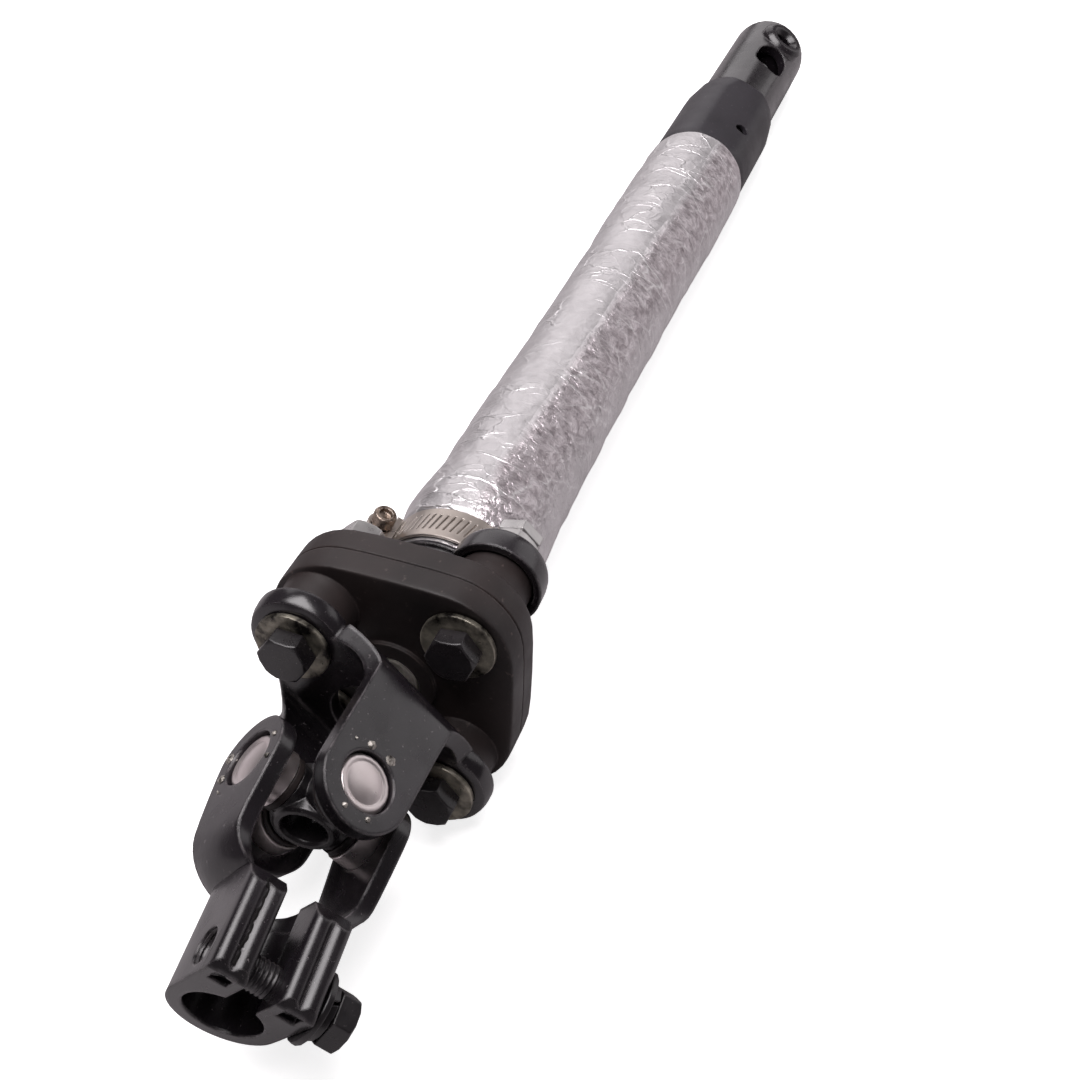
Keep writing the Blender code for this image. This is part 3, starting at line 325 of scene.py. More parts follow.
def lower_frame():
    """The lower yoke's axes, bent about the cross's second journal."""
    first = Vector(JOINTS["cross_swing"]["axis"])
    second = Vector(JOINTS["yoke_swing"]["axis"])
    third = first.cross(second)
    across = first * cos(YOKE_BEND) - third * sin(YOKE_BEND)
    along = third * cos(YOKE_BEND) + first * sin(YOKE_BEND)
    place = Matrix((across, second, along)).transposed().to_4x4()
    place.translation = Vector(JOINTS["yoke_swing"]["pos_m"])
    return place


SHAFT = shaft_frame()
LOWER = lower_frame()


# Nodes of a material
def tree_of(name):
    """A new material, its node tree and its shader."""
    material = bpy.data.materials.new(name)
    material.use_nodes = True
    return material, material.node_tree, material.node_tree.nodes["Principled BSDF"]


def add(tree, kind, **settings):
    """A new node with its settings."""
    node = tree.nodes.new(kind)
    for key, value in settings.items():
        setattr(node, key, value)
    return node


def here(tree):
    """Object coordinates."""
    return add(tree, "ShaderNodeTexCoord").outputs["Object"]


def noise(tree, place, scale, detail=4.0, rough=0.55, output="Fac"):
    """Cloudy noise; scale counts its lumps to the metre."""
    node = add(tree, "ShaderNodeTexNoise")
    node.inputs["Scale"].default_value = scale
    node.inputs["Detail"].default_value = detail
    node.inputs["Roughness"].default_value = rough
    tree.links.new(place, node.inputs["Vector"])
    return node.outputs[output]


def cells(tree, place, scale):
    """Distance to the nearest edge of a pattern of cells."""
    node = add(tree, "ShaderNodeTexVoronoi", feature="DISTANCE_TO_EDGE")
    node.inputs["Scale"].default_value = scale
    tree.links.new(place, node.inputs["Vector"])
    return node.outputs["Distance"]


def spread(tree, value, low, high, to_low=0.0, to_high=1.0):
    """Maps a value from low and high to two others, and holds it between them."""
    node = add(tree, "ShaderNodeMapRange")
    for name, amount in (("From Min", low), ("From Max", high), ("To Min", to_low), ("To Max", to_high)):
        node.inputs[name].default_value = amount
    tree.links.new(value, node.inputs["Value"])
    return node.outputs["Result"]


def math(tree, operation, first, second):
    """One operation on two numbers, each a plain one or a socket."""
    node = add(tree, "ShaderNodeMath", operation=operation)
    for socket, value in zip(node.inputs, (first, second)):
        if isinstance(value, float):
            socket.default_value = value
        else:
            tree.links.new(value, socket)
    return node.outputs["Value"]


def blend(tree, share, first, second):
    """A colour between two others, each a plain one or a socket."""
    node = add(tree, "ShaderNodeMix", data_type="RGBA")
    tree.links.new(share, node.inputs["Factor"])
    for socket, value in ((node.inputs[MIX_FIRST], first), (node.inputs[MIX_SECOND], second)):
        if isinstance(value, tuple):
            socket.default_value = (*value, 1.0)
        else:
            tree.links.new(value, socket)
    return node.outputs[MIX_RESULT]


def bump(tree, height, strength, distance, under=None):
    """Normals bent by a height, on top of other bent normals if there are any."""
    node = add(tree, "ShaderNodeBump")
    node.inputs["Strength"].default_value = strength
    node.inputs["Distance"].default_value = distance
    tree.links.new(height, node.inputs["Height"])
    if under is not None:
        tree.links.new(under, node.inputs["Normal"])
    return node.outputs["Normal"]


def soft_edges(tree, radius):
    """Normals that turn gently over every edge."""
    soft = add(tree, "ShaderNodeBevel", samples=BEVEL_SAMPLES)
    soft.inputs["Radius"].default_value = radius
    return soft.outputs["Normal"]


def worn_edges(tree, soft):
    """One on sharp edges, nothing on flat faces."""
    flat = add(tree, "ShaderNodeNewGeometry")
    product = add(tree, "ShaderNodeVectorMath", operation="DOT_PRODUCT")
    tree.links.new(soft, product.inputs[0])
    tree.links.new(flat.outputs["Normal"], product.inputs[1])
    return spread(tree, product.outputs["Value"], WEAR_START, WEAR_FULL)


def shaft_place(tree):
    """Coordinates in the shaft's own frame: all three together, and one by one."""
    centre = add(tree, "ShaderNodeVectorMath", operation="SUBTRACT")
    centre.inputs[1].default_value = SHAFT.translation
    tree.links.new(here(tree), centre.inputs[0])
    place = add(tree, "ShaderNodeCombineXYZ")
    numbers = []
    for axis, socket in enumerate(place.inputs):
        reach = add(tree, "ShaderNodeVectorMath", operation="DOT_PRODUCT")
        reach.inputs[1].default_value = SHAFT.col[axis].xyz
        tree.links.new(centre.outputs["Vector"], reach.inputs[0])
        tree.links.new(reach.outputs["Value"], socket)
        numbers.append(reach.outputs["Value"])
    return place.outputs["Vector"], numbers


def squeezed(tree, place, stretch, turn):
    """Coordinates turned and stretched."""
    mapping = add(tree, "ShaderNodeMapping")
    mapping.inputs["Scale"].default_value = stretch
    mapping.inputs["Rotation"].default_value = turn
    tree.links.new(place, mapping.inputs["Vector"])
    return mapping.outputs["Vector"]


def swayed(tree, place, sway, reach):
    """Coordinates pushed about by a coloured noise."""
    moved = add(tree, "ShaderNodeVectorMath", operation="MULTIPLY_ADD")
    moved.inputs[1].default_value = (reach, reach, reach)
    tree.links.new(sway, moved.inputs[0])
    tree.links.new(place, moved.inputs[2])
    return moved.outputs["Vector"]


# Materials
def finish(name, dark, light, worn, rough, metal, grain, bumpy, wear, specular=0.5, edge=WORN_R):
    """A finish with mottled colour, uneven gloss, a fine grain and worn, rounded edges."""
    material, tree, shader = tree_of(name)
    place = here(tree)
    mottle = spread(tree, noise(tree, place, grain * MOTTLE, detail=6.0), *MOTTLE_BAND)
    colour = blend(tree, mottle, dark, light)
    fray = spread(tree, noise(tree, place, grain * FRAY, detail=3.0), *FRAY_BAND)
    soft = soft_edges(tree, edge)
    rubbed = math(tree, "MULTIPLY", worn_edges(tree, soft), fray)
    rubbed = math(tree, "MULTIPLY", rubbed, wear)
    colour = blend(tree, rubbed, colour, worn)
    dust = spread(tree, noise(tree, place, grain * DUST, detail=2.0, rough=0.7), *DUST_BAND, 0.0, DUST_SHARE)
    colour = blend(tree, dust, colour, worn)
    tree.links.new(colour, shader.inputs["Base Color"])
    gloss = spread(tree, noise(tree, place, grain * GLOSS), *EVEN_BAND, *rough)
    tree.links.new(gloss, shader.inputs["Roughness"])
    shader.inputs["Metallic"].default_value = metal
    shader.inputs["Specular IOR Level"].default_value = specular
    broad = bump(tree, noise(tree, place, grain, detail=3.0), bumpy, BROAD_BUMP, soft)
    fine_grain = noise(tree, place, grain * FINE_GRAIN, detail=2.0)
    fine = bump(tree, fine_grain, bumpy * FINE_SHARE, FINE_BUMP, broad)
    tree.links.new(fine, shader.inputs["Normal"])
    return material


def black_paint():
    """Glossy black paint on the pressed yokes and the socket end."""
    return finish(
        "black_paint",
        dark=(0.006, 0.005, 0.006),
        light=(0.015, 0.012, 0.015),
        worn=(0.32, 0.29, 0.30),
        rough=(0.17, 0.30),
        metal=0.0,
        grain=160.0,
        bumpy=0.08,
        wear=0.6,
        specular=0.8,
        edge=0.0013,
    )


def tube_paint():
    """Satin black paint on the outer tube."""
    return finish(
        "tube_paint",
        dark=(0.018, 0.016, 0.020),
        light=(0.031, 0.027, 0.034),
        worn=(0.20, 0.18, 0.20),
        rough=(0.38, 0.50),
        metal=0.0,
        grain=120.0,
        bumpy=0.06,
        wear=0.5,
        specular=0.35,
        edge=0.0012,
    )


def painted_seam_shade():
    """Near-black colour for painted shade in a seam's crevice."""
    return finish(
        "painted_seam_shade",
        dark=(0.002, 0.002, 0.002),
        light=(0.010, 0.008, 0.008),
        worn=(0.030, 0.025, 0.024),
        rough=(0.60, 0.80),
        metal=0.0,
        grain=400.0,
        bumpy=0.20,
        wear=0.2,
        specular=0.2,
    )


def black_steel():
    """Blackened steel of the bolts, the cross and the threads."""
    return finish(
        "black_steel",
        dark=(0.006, 0.005, 0.006),
        light=(0.022, 0.019, 0.021),
        worn=(0.34, 0.31, 0.31),
        rough=(0.22, 0.36),
        metal=0.15,
        grain=260.0,
        bumpy=0.12,
        wear=0.75,
        specular=0.8,
        edge=0.0005,
    )


def rubber():
    """Dull black rubber of the coupling and the seals."""
    return finish(
        "rubber",
        dark=(0.008, 0.006, 0.006),
        light=(0.036, 0.026, 0.025),
        worn=(0.17, 0.13, 0.12),
        rough=(0.40, 0.60),
        metal=0.0,
        grain=90.0,
        bumpy=0.14,
        wear=0.45,
        specular=0.4,
        edge=0.0009,
    )


def zinc():
    """Plating of the spacers and the centre pin."""
    return finish(
        "zinc",
        dark=(0.50, 0.47, 0.40),
        light=(0.74, 0.72, 0.66),
        worn=(0.85, 0.84, 0.80),
        rough=(0.26, 0.42),
        metal=0.92,
        grain=240.0,
        bumpy=0.12,
        wear=0.4,
    )


def cup_steel():
    """Bright steel of the bearing cups."""
    return finish(
        "cup_steel",
        dark=(0.74, 0.67, 0.66),
        light=(0.84, 0.78, 0.77),
        worn=(0.94, 0.90, 0.89),
        rough=(0.26, 0.38),
        metal=0.92,
        grain=300.0,
        bumpy=0.06,
        wear=0.5,
    )


def stained_zinc():
    """Plating of the washers, almost black where it is stained."""
    return finish(
        "stained_zinc",
        dark=(0.010, 0.008, 0.007),
        light=(0.60, 0.56, 0.46),
        worn=(0.92, 0.90, 0.84),
        rough=(0.26, 0.42),
        metal=0.7,
        grain=640.0,
        bumpy=0.12,
        wear=0.9,
        edge=0.0004,
    )


def nut_steel():
    """Grey steel of the nuts."""
    return finish(
        "nut_steel",
        dark=(0.36, 0.35, 0.35),
        light=(0.62, 0.61, 0.60),
        worn=(0.88, 0.86, 0.84),
        rough=(0.22, 0.38),
        metal=0.92,
        grain=300.0,
        bumpy=0.12,
        wear=0.6,
    )


def clamp_steel():
    """Warm, shiny steel of the hose clamp."""
    return finish(
        "clamp_steel",
        dark=(0.42, 0.37, 0.33),
        light=(0.62, 0.56, 0.51),
        worn=(0.86, 0.82, 0.78),
        rough=(0.24, 0.40),
        metal=0.92,
        grain=260.0,
        bumpy=0.12,
        wear=0.6,
    )


def chipped_steel():
    """Bare metal of the punch marks, with dark paint left in places."""
    return finish(
        "chipped_steel",
        dark=(0.05, 0.045, 0.04),
        light=(0.72, 0.68, 0.62),
        worn=(0.92, 0.88, 0.83),
        rough=(0.22, 0.42),
        metal=0.7,
        grain=2600.0,
        bumpy=0.5,
        wear=0.9,
        edge=0.0002,
    )


def screw_steel():
    """Brown-stained steel of the hose clamp's screw."""
    return finish(
        "screw_steel",
        dark=(0.07, 0.045, 0.03),
        light=(0.52, 0.42, 0.35),
        worn=(0.88, 0.81, 0.74),
        rough=(0.22, 0.40),
        metal=0.85,
        grain=1300.0,
        bumpy=0.40,
        wear=0.9,
    )


def foil_sides(tree, place, across, side, along):
    """How crumpled the foil is past its ridge line, for its shape; and for its colour, the share of painted
    shade past the ridge, which fades below.
    """
    ridge_at = math(tree, "ADD", math(tree, "MULTIPLY", along, RIDGE_TURN), RIDGE_LOW)
    past = math(tree, "SUBTRACT", math(tree, "ARCTAN2", side, across), ridge_at)
    frayed = spread(tree, noise(tree, place, RIDGE_FRAYS, detail=3.0), 0.0, 1.0, -RIDGE_SWAY, RIDGE_SWAY)
    past = math(tree, "ADD", past, frayed)
    busy = spread(tree, past, *RIDGE_BLUR, CALM_SIDE, 1.0)
    # Painted shade: the darker colour past the ridge fades out again further round.
    faded = spread(tree, past, *SHADE_END, 1.0, SHADE_LEFT)
    return busy, math(tree, "MULTIPLY", busy, faded)


def crease_lines(tree, place, count, width):
    """One on the lines between a pattern's cells, nothing away from them."""
    return spread(tree, cells(tree, place, count), 0.0, width, 1.0, 0.0)


def foil():
    """Crinkled foil: long creases on its calm side with a painted highlight on the large ones, and small
    facets on its crumpled side, which is painted darker as shade.
    """
    material, tree, shader = tree_of("foil")
    place, numbers = shaft_place(tree)
    busy, crumple_and_shade = foil_sides(tree, place, *numbers)
    calm = math(tree, "SUBTRACT", CALM_START, busy)
    long_way = squeezed(tree, place, CREASE_SQUEEZE, CREASE_TURN)
    sway = noise(tree, long_way, SWAYS, detail=3.0, rough=0.5, output="Color")
    creases = swayed(tree, long_way, sway, CREASE_SWAY)
    facets = swayed(tree, place, sway, FACET_SWAY)
    few = spread(tree, noise(tree, place, CREASE_PATCHES, detail=2.0), *PATCH_BAND)
    large = math(tree, "MULTIPLY", crease_lines(tree, creases, LARGE_CREASES, LARGE_WIDTH), few)
    medium = math(tree, "MULTIPLY", crease_lines(tree, creases, MEDIUM_CREASES, MEDIUM_WIDTH), few)
    small = crease_lines(tree, facets, FACETS, FACET_WIDTH)
    rumple = noise(tree, facets, RUMPLES, detail=3.0)
    stained = spread(tree, noise(tree, place, STAINS, detail=5.0), *EVEN_BAND)
    colour = blend(tree, stained, FOIL_DARK, FOIL_LIGHT)
    # Painted shade: the crumpled side takes darker colours, with painted light and shade that varies from
    # facet to facet.
    painted_facet_shade = blend(tree, spread(tree, rumple, *RUMPLE_BAND), CRUMPLE_PAINTED_SHADE_DARK, CRUMPLE_PAINTED_SHADE_LIGHT)
    colour = blend(tree, crumple_and_shade, colour, painted_facet_shade)
    # Painted highlight: the large creases are lightened towards near white.
    colour = blend(tree, math(tree, "MULTIPLY", large, CREASE_SHINE), colour, CREASE_PAINTED_HIGHLIGHT)
    tree.links.new(colour, shader.inputs["Base Color"])
    gloss = spread(tree, noise(tree, place, GLOSS_PATCHES), *EVEN_BAND, *FOIL_ROUGH)
    tree.links.new(gloss, shader.inputs["Roughness"])
    shader.inputs["Metallic"].default_value = FOIL_METAL
    bent = bump(tree, math(tree, "MULTIPLY", large, calm), *LARGE_BUMP)
    bent = bump(tree, math(tree, "MULTIPLY", medium, calm), *MEDIUM_BUMP, bent)
    bent = bump(tree, math(tree, "MULTIPLY", small, busy), *FACET_BUMP, bent)
    bent = bump(tree, math(tree, "MULTIPLY", rumple, busy), *RUMPLE_BUMP, bent)
    tree.links.new(bent, shader.inputs["Normal"])
    return material


MATERIALS = {
    "black_paint": black_paint(),
    "black_steel": black_steel(),
    "rubber": rubber(),
    "tube_paint": tube_paint(),
    "painted_seam_shade": painted_seam_shade(),
    "zinc": zinc(),
    "stained_zinc": stained_zinc(),
    "nut_steel": nut_steel(),
    "cup_steel": cup_steel(),
    "clamp_steel": clamp_steel(),
    "screw_steel": screw_steel(),
    "chipped_steel": chipped_steel(),
    "foil": foil(),
}
SLOT_OF = {part["node"]: part["material_slot"] for part in frame["record"]["subparts"]}


# Modelling helpers
def only(piece):
    """Selects a piece and nothing else."""
    bpy.ops.object.select_all(action="DESELECT")
    piece.select_set(True)
    bpy.context.view_layer.objects.active = piece


def work(piece, mode="VERT"):
    """Opens a piece for editing."""
    only(piece)
    bpy.ops.object.mode_set(mode="EDIT")
    bpy.ops.mesh.select_mode(type=mode)


def whole(piece, mode="VERT"):
    """Opens a piece for editing with all of it selected."""
    work(piece, mode)
    bpy.ops.mesh.select_all(action="SELECT")


def done():
    """Leaves edit mode."""
    bpy.ops.object.mode_set(mode="OBJECT")


def cleared(piece, mode="VERT"):
    """Leaves nothing of a piece selected."""
    work(piece, mode)
    bpy.ops.mesh.select_all(action="DESELECT")
    done()


def applied(piece, kind, **settings):
    """Adds a modifier and applies it."""
    only(piece)
    modifier = piece.modifiers.new(kind.title(), kind)
    for key, value in settings.items():
        setattr(modifier, key, value)
    bpy.ops.object.modifier_apply(modifier=modifier.name)


def texture(name, kind, **settings):
    """A texture with its settings."""
    made = bpy.data.textures.new(name, kind)
    for key, value in settings.items():
        setattr(made, key, value)
    return made


def pushed(piece, lumps, strength, **settings):
    """Pushes a surface in and out by a texture."""
    applied(piece, "DISPLACE", texture=lumps, strength=strength, mid_level=0.5, **settings)


def guide(name, stretch=(1.0, 1.0, 1.0), turn=(0.0, 0.0, 0.0)):
    """An empty whose size and turn a texture follows."""
    bpy.ops.object.empty_add(location=(0.0, 0.0, 0.0), rotation=turn)
    item = bpy.context.active_object
    item.name = name
    item.scale = stretch
    return item


def settled(piece):
    """Puts a piece's own place and turn into its mesh."""
    only(piece)
    bpy.ops.object.transform_apply(location=True, rotation=True, scale=True)


def placed(piece, place):
    """Moves a piece from its own frame to its place on the part, and settles it there."""
    piece.matrix_world = place
    settled(piece)


def on_clamp(at):
    """A place in the clamp's own frame."""
    return LOWER @ Matrix.Rotation(CLAMP_TURN, 4, "Z") @ Matrix.Translation(at)


def smoothed(piece, angle):
    """Shades a piece smooth, apart from edges sharper than an angle."""
    only(piece)
    bpy.ops.object.shade_smooth_by_angle(angle=angle)


def rounded(piece, width, segments=2):
    """Rounds a piece's edges, and keeps its flat faces flat to the light."""
    applied(
        piece,
        "BEVEL",
        width=width,
        segments=segments,
        limit_method="ANGLE",
        angle_limit=SHARP,
        use_clamp_overlap=True,
        miter_outer="MITER_ARC",
    )
    smoothed(piece, SMOOTH)
    applied(piece, "WEIGHTED_NORMAL", keep_sharp=True)


def kept(piece, body, material):
    """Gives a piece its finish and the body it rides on."""
    piece.data.materials.clear()
    piece.data.materials.append(MATERIALS[material])
    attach(piece, body)


def copied(node):
    """A copy of a CAD node with its triangles welded together."""
    mesh = frame["nodes"][node].data.copy()
    piece = bpy.data.objects.new(node + "_made", mesh)
    bpy.context.scene.collection.objects.link(piece)
    whole(piece)
    bpy.ops.mesh.remove_doubles(threshold=WELD)
    done()
    return piece


def flattened(piece):
    """Joins the triangles of each flat face."""
    whole(piece)
    bpy.ops.mesh.dissolve_limited(angle_limit=FLAT)
    done()


def smoother(piece):
    """Rounds the outline of a piece and leaves its sharp edges sharp."""
    whole(piece, "EDGE")
    bpy.ops.mesh.tris_convert_to_quads(face_threshold=FLAT, shape_threshold=pi)
    bpy.ops.mesh.select_all(action="DESELECT")
    bpy.ops.mesh.edges_select_sharp(sharpness=SHARP)
    bpy.ops.transform.edge_crease(value=1.0)
    done()
    applied(piece, "SUBSURF", levels=1, render_levels=1)


def from_cad(node, material=None, edge=EDGE, segments=2, smooth=False):
    """A copy of a CAD node with its edges rounded."""
    piece = copied(node)
    if smooth:
        smoother(piece)
    else:
        flattened(piece)
    rounded(piece, edge, segments)
    kept(piece, BODY_OF[node], material or SLOT_OF[node])
    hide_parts(node)


def outer_face(piece, outward):
    """Opens a piece for editing with only the face that looks outward selected."""
    cleared(piece, "FACE")
    flat = [face for face in piece.data.polygons if face.normal.dot(outward) > SQUARE]
    max(flat, key=lambda face: face.center.dot(outward)).select = True
    work(piece, "FACE")


def lathe(name, profile, closed=True):
    """Draws a profile of (radius, height) point by point, for spinning about z."""
    radius, height = profile[0]
    bpy.ops.mesh.primitive_plane_add(size=SEED, location=(0.0, 0.0, 0.0))
    piece = bpy.context.active_object
    piece.name = name
    whole(piece)
    bpy.ops.mesh.merge(type="CENTER")
    bpy.ops.transform.translate(value=(radius, 0.0, height))
    for before, after in zip(profile, profile[1:]):
        step = (after[0] - before[0], 0.0, after[1] - before[1])
        bpy.ops.mesh.extrude_region_move(TRANSFORM_OT_translate={"value": step})
    bpy.ops.mesh.select_all(action="SELECT")
    if closed:
        bpy.ops.mesh.edge_face_add()
        bpy.ops.mesh.delete(type="ONLY_FACE")
    done()
    return piece


def spun(piece, steps):
    """Spins a drawn profile once about z, and turns its faces outwards."""
    whole(piece)
    bpy.ops.mesh.spin(steps=steps, angle=2 * pi, center=(0.0, 0.0, 0.0), axis=(0.0, 0.0, 1.0))
    bpy.ops.mesh.select_all(action="SELECT")
    bpy.ops.mesh.remove_doubles(threshold=WELD)
    bpy.ops.mesh.normals_make_consistent(inside=False)
    done()


# Pieces
def cup(node, outward):
    """A bearing cup with a rolled rim, a shallow groove inside it and a slight dome."""
    piece = copied(node)
    flattened(piece)
    outer_face(piece, outward)
    bpy.ops.mesh.inset(thickness=CUP_RIM, depth=0.0)
    bpy.ops.mesh.inset(thickness=CUP_GROOVE, depth=-CUP_GROOVE_DEEP)
    bpy.ops.mesh.inset(thickness=CUP_SLOPE, depth=CUP_SLOPE_H)
    for width, rise in CUP_DOME:
        bpy.ops.mesh.inset(thickness=width, depth=rise)
    done()
    rounded(piece, CUP_EDGE, segments=3)
    kept(piece, BODY_OF[node], "cup_steel")
    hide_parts(node)


def stakes(name, place, body):
    """Punch marks in the arm round a cup: small raised chips of metal, each pushed towards the cup."""
    for number, (around, reach, size) in enumerate(STAKES):
        turn = radians(around)
        bpy.ops.mesh.primitive_cone_add(
            vertices=STAKE_SIDES,
            radius1=STAKE_R * size,
            radius2=STAKE_TIP_R * size,
            depth=STAKE_H,
            location=(reach * cos(turn), reach * sin(turn), 0.0),
            rotation=(0.0, STAKE_LEAN, turn),
        )
        chip = bpy.context.active_object
        chip.name = name + "_" + str(number)
        settled(chip)
        rounded(chip, STAKE_EDGE, segments=1)
        placed(chip, place)
        kept(chip, body, "chipped_steel")


def thread(name, root, crest, start, length):
    """Ridges of the pinch bolt's thread, or of its hole where the crest lies inside the root."""
    count = int(length / PITCH)
    profile = [(root, 0.0)]
    for i in range(count):
        profile.append((crest, (i + 0.5) * PITCH))
        profile.append((root + (crest - root) * THREAD_VALLEY, (i + 1) * PITCH))
    profile.append((root, count * PITCH))
    piece = lathe(name, profile)
    spun(piece, THREAD_STEPS)
    smoothed(piece, THREAD_SHARP)
    turned = on_clamp(PINCH_AT) @ Matrix.Rotation(-QUARTER, 4, "X")
    placed(piece, turned @ Matrix.Translation((0.0, 0.0, start)))
    kept(piece, "lower_yoke", "black_steel")


def seam_shade_strip():
    """A wavy dark strip of painted shade where the left lug's sheet folds back on itself."""
    bpy.ops.mesh.primitive_grid_add(
        x_subdivisions=SEAM_STEPS, y_subdivisions=2, size=1.0, location=(0.0, 0.0, 0.0)
    )
    piece = bpy.context.active_object
    piece.name = "seam_shade_strip"
    whole(piece)
    bpy.ops.transform.resize(value=(SEAM_L, SEAM_W, 1.0), center_override=(0.0, 0.0, 0.0))
    done()
    sway = texture("sway", "CLOUDS", noise_scale=SEAM_WAVE, noise_depth=1)
    pushed(piece, sway, SEAM_SWAY, texture_coords="LOCAL", direction="Y")
    applied(piece, "SOLIDIFY", thickness=SEAM_DEEP, offset=0.0)
    placed(piece, on_clamp(SEAM_AT) @ Matrix.Rotation(-QUARTER, 4, "Y"))
    kept(piece, "lower_yoke", "painted_seam_shade")


def slanted(piece, height):
    """Turns all that lies above a height a little, so that the band's slots slant."""
    cleared(piece)
    for vertex in piece.data.vertices:
        vertex.select = vertex.co.z > height
    work(piece)
    bpy.ops.transform.rotate(value=BAND_LEAN, orient_axis="Z", center_override=(0.0, 0.0, 0.0))
    done()


def slotted(piece, low, high):
    """Presses in every second face that lies between two heights on the band's outside."""
    cleared(piece, "FACE")
    middle = (BAND_IN + BAND_OUT) / 2
    slots = [f for f in piece.data.polygons if low < f.center.z < high and f.center.xy.length > middle]
    slots.sort(key=lambda face: face.center.xy.angle_signed(Vector((1.0, 0.0))))
    for face in slots[::2]:
        face.select = True
    work(piece, "FACE")
    bpy.ops.mesh.inset(use_individual=True, thickness=SLOT_EDGE, depth=0.0)
    bpy.ops.mesh.inset(use_individual=True, thickness=SLOT_WALL, depth=-SLOT_DEEP)
    done()


def hose_band():
    """The hose clamp's band with slanted slots pressed into it."""
    low = BAND_LOW + BAND_MARGIN
    high = BAND_HIGH - BAND_MARGIN
    profile = [(BAND_IN, BAND_LOW)]
    profile += [(BAND_OUT, height) for height in (BAND_LOW, low, high, BAND_HIGH)]
    profile += [(BAND_IN, BAND_HIGH)]
    piece = lathe("hose_band_made", profile)
    spun(piece, 2 * BAND_SLOTS)
    slanted(piece, (low + high) / 2)
    slotted(piece, low, high)
    smoothed(piece, SHARP)
    placed(piece, SHAFT)
    kept(piece, "shaft", "clamp_steel")
    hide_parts("hose_band")


def clamp_screw():
    """The hose clamp's worm screw with its hollow round head."""
    piece = lathe("clamp_screw_made", SCREW_PROFILE, closed=False)
    spun(piece, SCREW_STEPS)
    smoothed(piece, SHARP)
    turned = Matrix.Rotation(HOUSING_AT, 4, "Z") @ Matrix.Translation((SCREW_OFF, 0.0, SCREW_Z))
    placed(piece, SHAFT @ turned @ Matrix.Rotation(-QUARTER, 4, "X"))
    kept(piece, "shaft", "screw_steel")
    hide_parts("clamp_screw")


def nut_collar():
    """The collar of the lock nut beside the hose clamp."""
    piece = lathe("nut_collar", COLLAR_PROFILE)
    spun(piece, COLLAR_SIDES)
    only(piece)
    bpy.ops.object.shade_flat()
    placed(piece, SHAFT @ Matrix.Translation(COLLAR_AT) @ Matrix.Rotation(pi / COLLAR_SIDES, 4, "Z"))
    kept(piece, "shaft", "nut_steel")


def crumpled_up(piece):
    """Puffs out a surface, then folds and nicks it."""
    across = guide("across", FOLD_SQUEEZE, FOLD_TURN)
    plain = guide("plain")
    puffs = texture("puffs", "CLOUDS", noise_scale=PUFF_SIZE, noise_depth=2)
    folds = texture("folds", "VORONOI", noise_scale=FOLD_SIZE, **CELL_EDGES)
    nicks = texture("nicks", "VORONOI", noise_scale=NICK_SIZE, **CELL_EDGES)
    for lumps, space, height in ((puffs, plain, PUFF_H), (folds, across, FOLD_H), (nicks, plain, NICK_H)):
        pushed(piece, lumps, height, texture_coords="OBJECT", texture_coords_object=space)
    for item in (across, plain):
        bpy.data.objects.remove(item, do_unlink=True)


def walled(piece):
    """Turns both open ends of the foil in, and joins them inside."""
    low = min(v.co.z for v in piece.data.vertices)
    work(piece, "EDGE")
    bpy.ops.mesh.select_all(action="DESELECT")
    bpy.ops.mesh.select_non_manifold()
    bpy.ops.mesh.extrude_edges_move()
    bpy.ops.transform.resize(value=(WRAP_INSIDE, WRAP_INSIDE, 1.0), center_override=(0.0, 0.0, low))
    bpy.ops.mesh.bridge_edge_loops()
    bpy.ops.mesh.select_all(action="SELECT")
    bpy.ops.mesh.normals_make_consistent(inside=False)
    done()


def foil_wrap():
    """The crumpled foil round the tube."""
    piece = lathe("foil_wrap", WRAP_PROFILE, closed=False)
    whole(piece)
    bpy.ops.mesh.subdivide(number_cuts=WRAP_CUTS, smoothness=0.0)
    done()
    spun(piece, WRAP_STEPS)
    crumpled_up(piece)
    walled(piece)
    smoothed(piece, WRAP_SMOOTH)
    placed(piece, SHAFT)
    kept(piece, "shaft", "foil")
    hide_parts("foil_sleeve")


# Stage
def floor():
    """A white floor, bright to the camera and dimmer where the part mirrors it."""
    bpy.ops.mesh.primitive_plane_add(size=FLOOR_SIZE, location=(0.0, 0.0, 0.0))
    piece = bpy.context.active_object
    piece.name = "floor"
    material, tree, shader = tree_of("floor_white")
    tree.nodes.remove(shader)
    path = add(tree, "ShaderNodeLightPath")
    matte = add(tree, "ShaderNodeBsdfDiffuse")
    grain = spread(tree, noise(tree, here(tree), FLOOR_GRAIN), *EVEN_BAND)
    tree.links.new(blend(tree, grain, FLOOR_DARK, FLOOR_LIGHT), matte.inputs["Color"])
    glow = add(tree, "ShaderNodeEmission")
    glow.inputs["Strength"].default_value = FLOOR_GLOW
    seen = add(tree, "ShaderNodeAddShader")
    tree.links.new(matte.outputs["BSDF"], seen.inputs[0])
    tree.links.new(glow.outputs["Emission"], seen.inputs[1])
    mirrored = add(tree, "ShaderNodeBsdfDiffuse")
    mirrored.inputs["Color"].default_value = FLOOR_MIRRORED
    choice = add(tree, "ShaderNodeMixShader")
    tree.links.new(path.outputs["Is Camera Ray"], choice.inputs[0])
    tree.links.new(mirrored.outputs["BSDF"], choice.inputs[1])
    tree.links.new(seen.outputs["Shader"], choice.inputs[2])
    tree.links.new(choice.outputs["Shader"], tree.nodes["Material Output"].inputs["Surface"])
    piece.data.materials.append(material)


def softbox(name, place, width, height, power):
    """A large soft light that looks at the part."""
    light = bpy.data.lights.new(name, "AREA")
    light.shape = "RECTANGLE"
    light.size = width
    light.size_y = height
    light.energy = power
    light.color = ROSY
    lamp = bpy.data.objects.new(name, light)
    bpy.context.scene.collection.objects.link(lamp)
    lamp.location = place
    lamp.rotation_mode = "QUATERNION"
    lamp.rotation_quaternion = (LIT_POINT - place).to_track_quat("-Z", "Y")


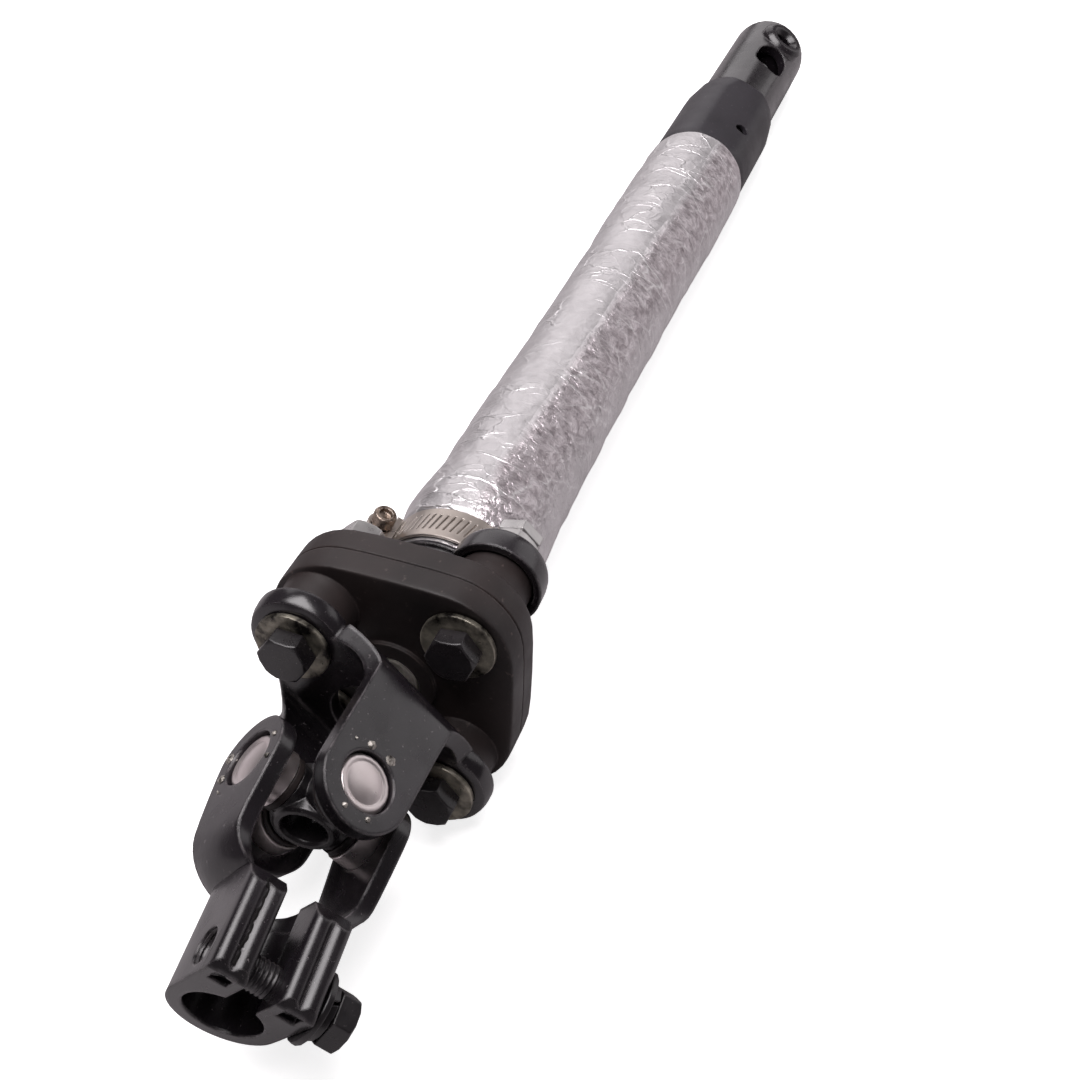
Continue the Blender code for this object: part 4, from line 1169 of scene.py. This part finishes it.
def world():
    """A white backdrop for the camera, and a dark room for what the part mirrors."""
    scene_world = bpy.data.worlds.new("studio")
    scene_world.use_nodes = True
    bpy.context.scene.world = scene_world
    tree = scene_world.node_tree
    background = tree.nodes["Background"]
    path = add(tree, "ShaderNodeLightPath")
    tone = blend(tree, path.outputs["Is Camera Ray"], SURROUNDINGS, BACKDROP)
    tree.links.new(tone, background.inputs["Color"])


def camera():
    """The camera at the photograph's place, given in the shaft's frame."""
    data = bpy.data.cameras.new("camera")
    data.sensor_width = SENSOR
    data.lens = LENS
    data.clip_start = CAMERA_NEAR
    data.clip_end = CAMERA_FAR
    item = bpy.data.objects.new("camera", data)
    bpy.context.scene.collection.objects.link(item)
    right = CAMERA_RIGHT.normalized()
    down = (CAMERA_DOWN - right * CAMERA_DOWN.dot(right)).normalized()
    back = -right.cross(down)
    place = Matrix((right, -down, back)).transposed().to_4x4()
    place.translation = CAMERA_AT
    item.matrix_world = SHAFT @ place
    bpy.context.scene.camera = item
    bpy.context.scene.view_settings.view_transform = "Standard"


for pressed in PRESSED:
    from_cad(pressed, smooth=True)
from_cad("outer_tube", "tube_paint", segments=3)
from_cad("socket_end", segments=3)
from_cad("cross")
from_cad("rubber_coupling", edge=RUBBER_EDGE, smooth=True)
for washer in WASHERS:
    from_cad(washer, "stained_zinc", edge=HARDWARE_EDGE, smooth=True)
for nut in NUTS:
    from_cad(nut, "nut_steel", edge=FINE_EDGE)
for seal in SEALS:
    from_cad(seal, edge=SEAL_EDGE)
for bolt in BOLTS:
    from_cad(bolt, edge=HARDWARE_EDGE)
for spacer in SPACERS:
    from_cad(spacer, edge=FINE_EDGE)
cup("upper_cup_near", SHAFT.col[0].xyz)
cup("upper_cup_far", -SHAFT.col[0].xyz)
cup("lower_cup_left", -LOWER.col[1].xyz)
cup("lower_cup_right", LOWER.col[1].xyz)
for label, own_frame, body, axis, turn in (
    ("near_stake", SHAFT, "shaft", "Y", QUARTER),
    ("far_stake", SHAFT, "shaft", "Y", -QUARTER),
    ("left_stake", LOWER, "lower_yoke", "X", QUARTER),
    ("right_stake", LOWER, "lower_yoke", "X", -QUARTER),
):
    outwards = own_frame @ Matrix.Rotation(turn, 4, axis)
    stakes(label, outwards @ Matrix.Translation((0.0, 0.0, ARM_FACE + STAKE_OUT)), body)
seam_shade_strip()
hose_band()
from_cad("clamp_housing", edge=FINE_EDGE)
clamp_screw()
nut_collar()
thread("bolt_thread", *MALE_THREAD)
thread("hole_thread", *FEMALE_THREAD)
foil_wrap()
floor()
for light in LIGHTS:
    softbox(*light)
world()
camera()
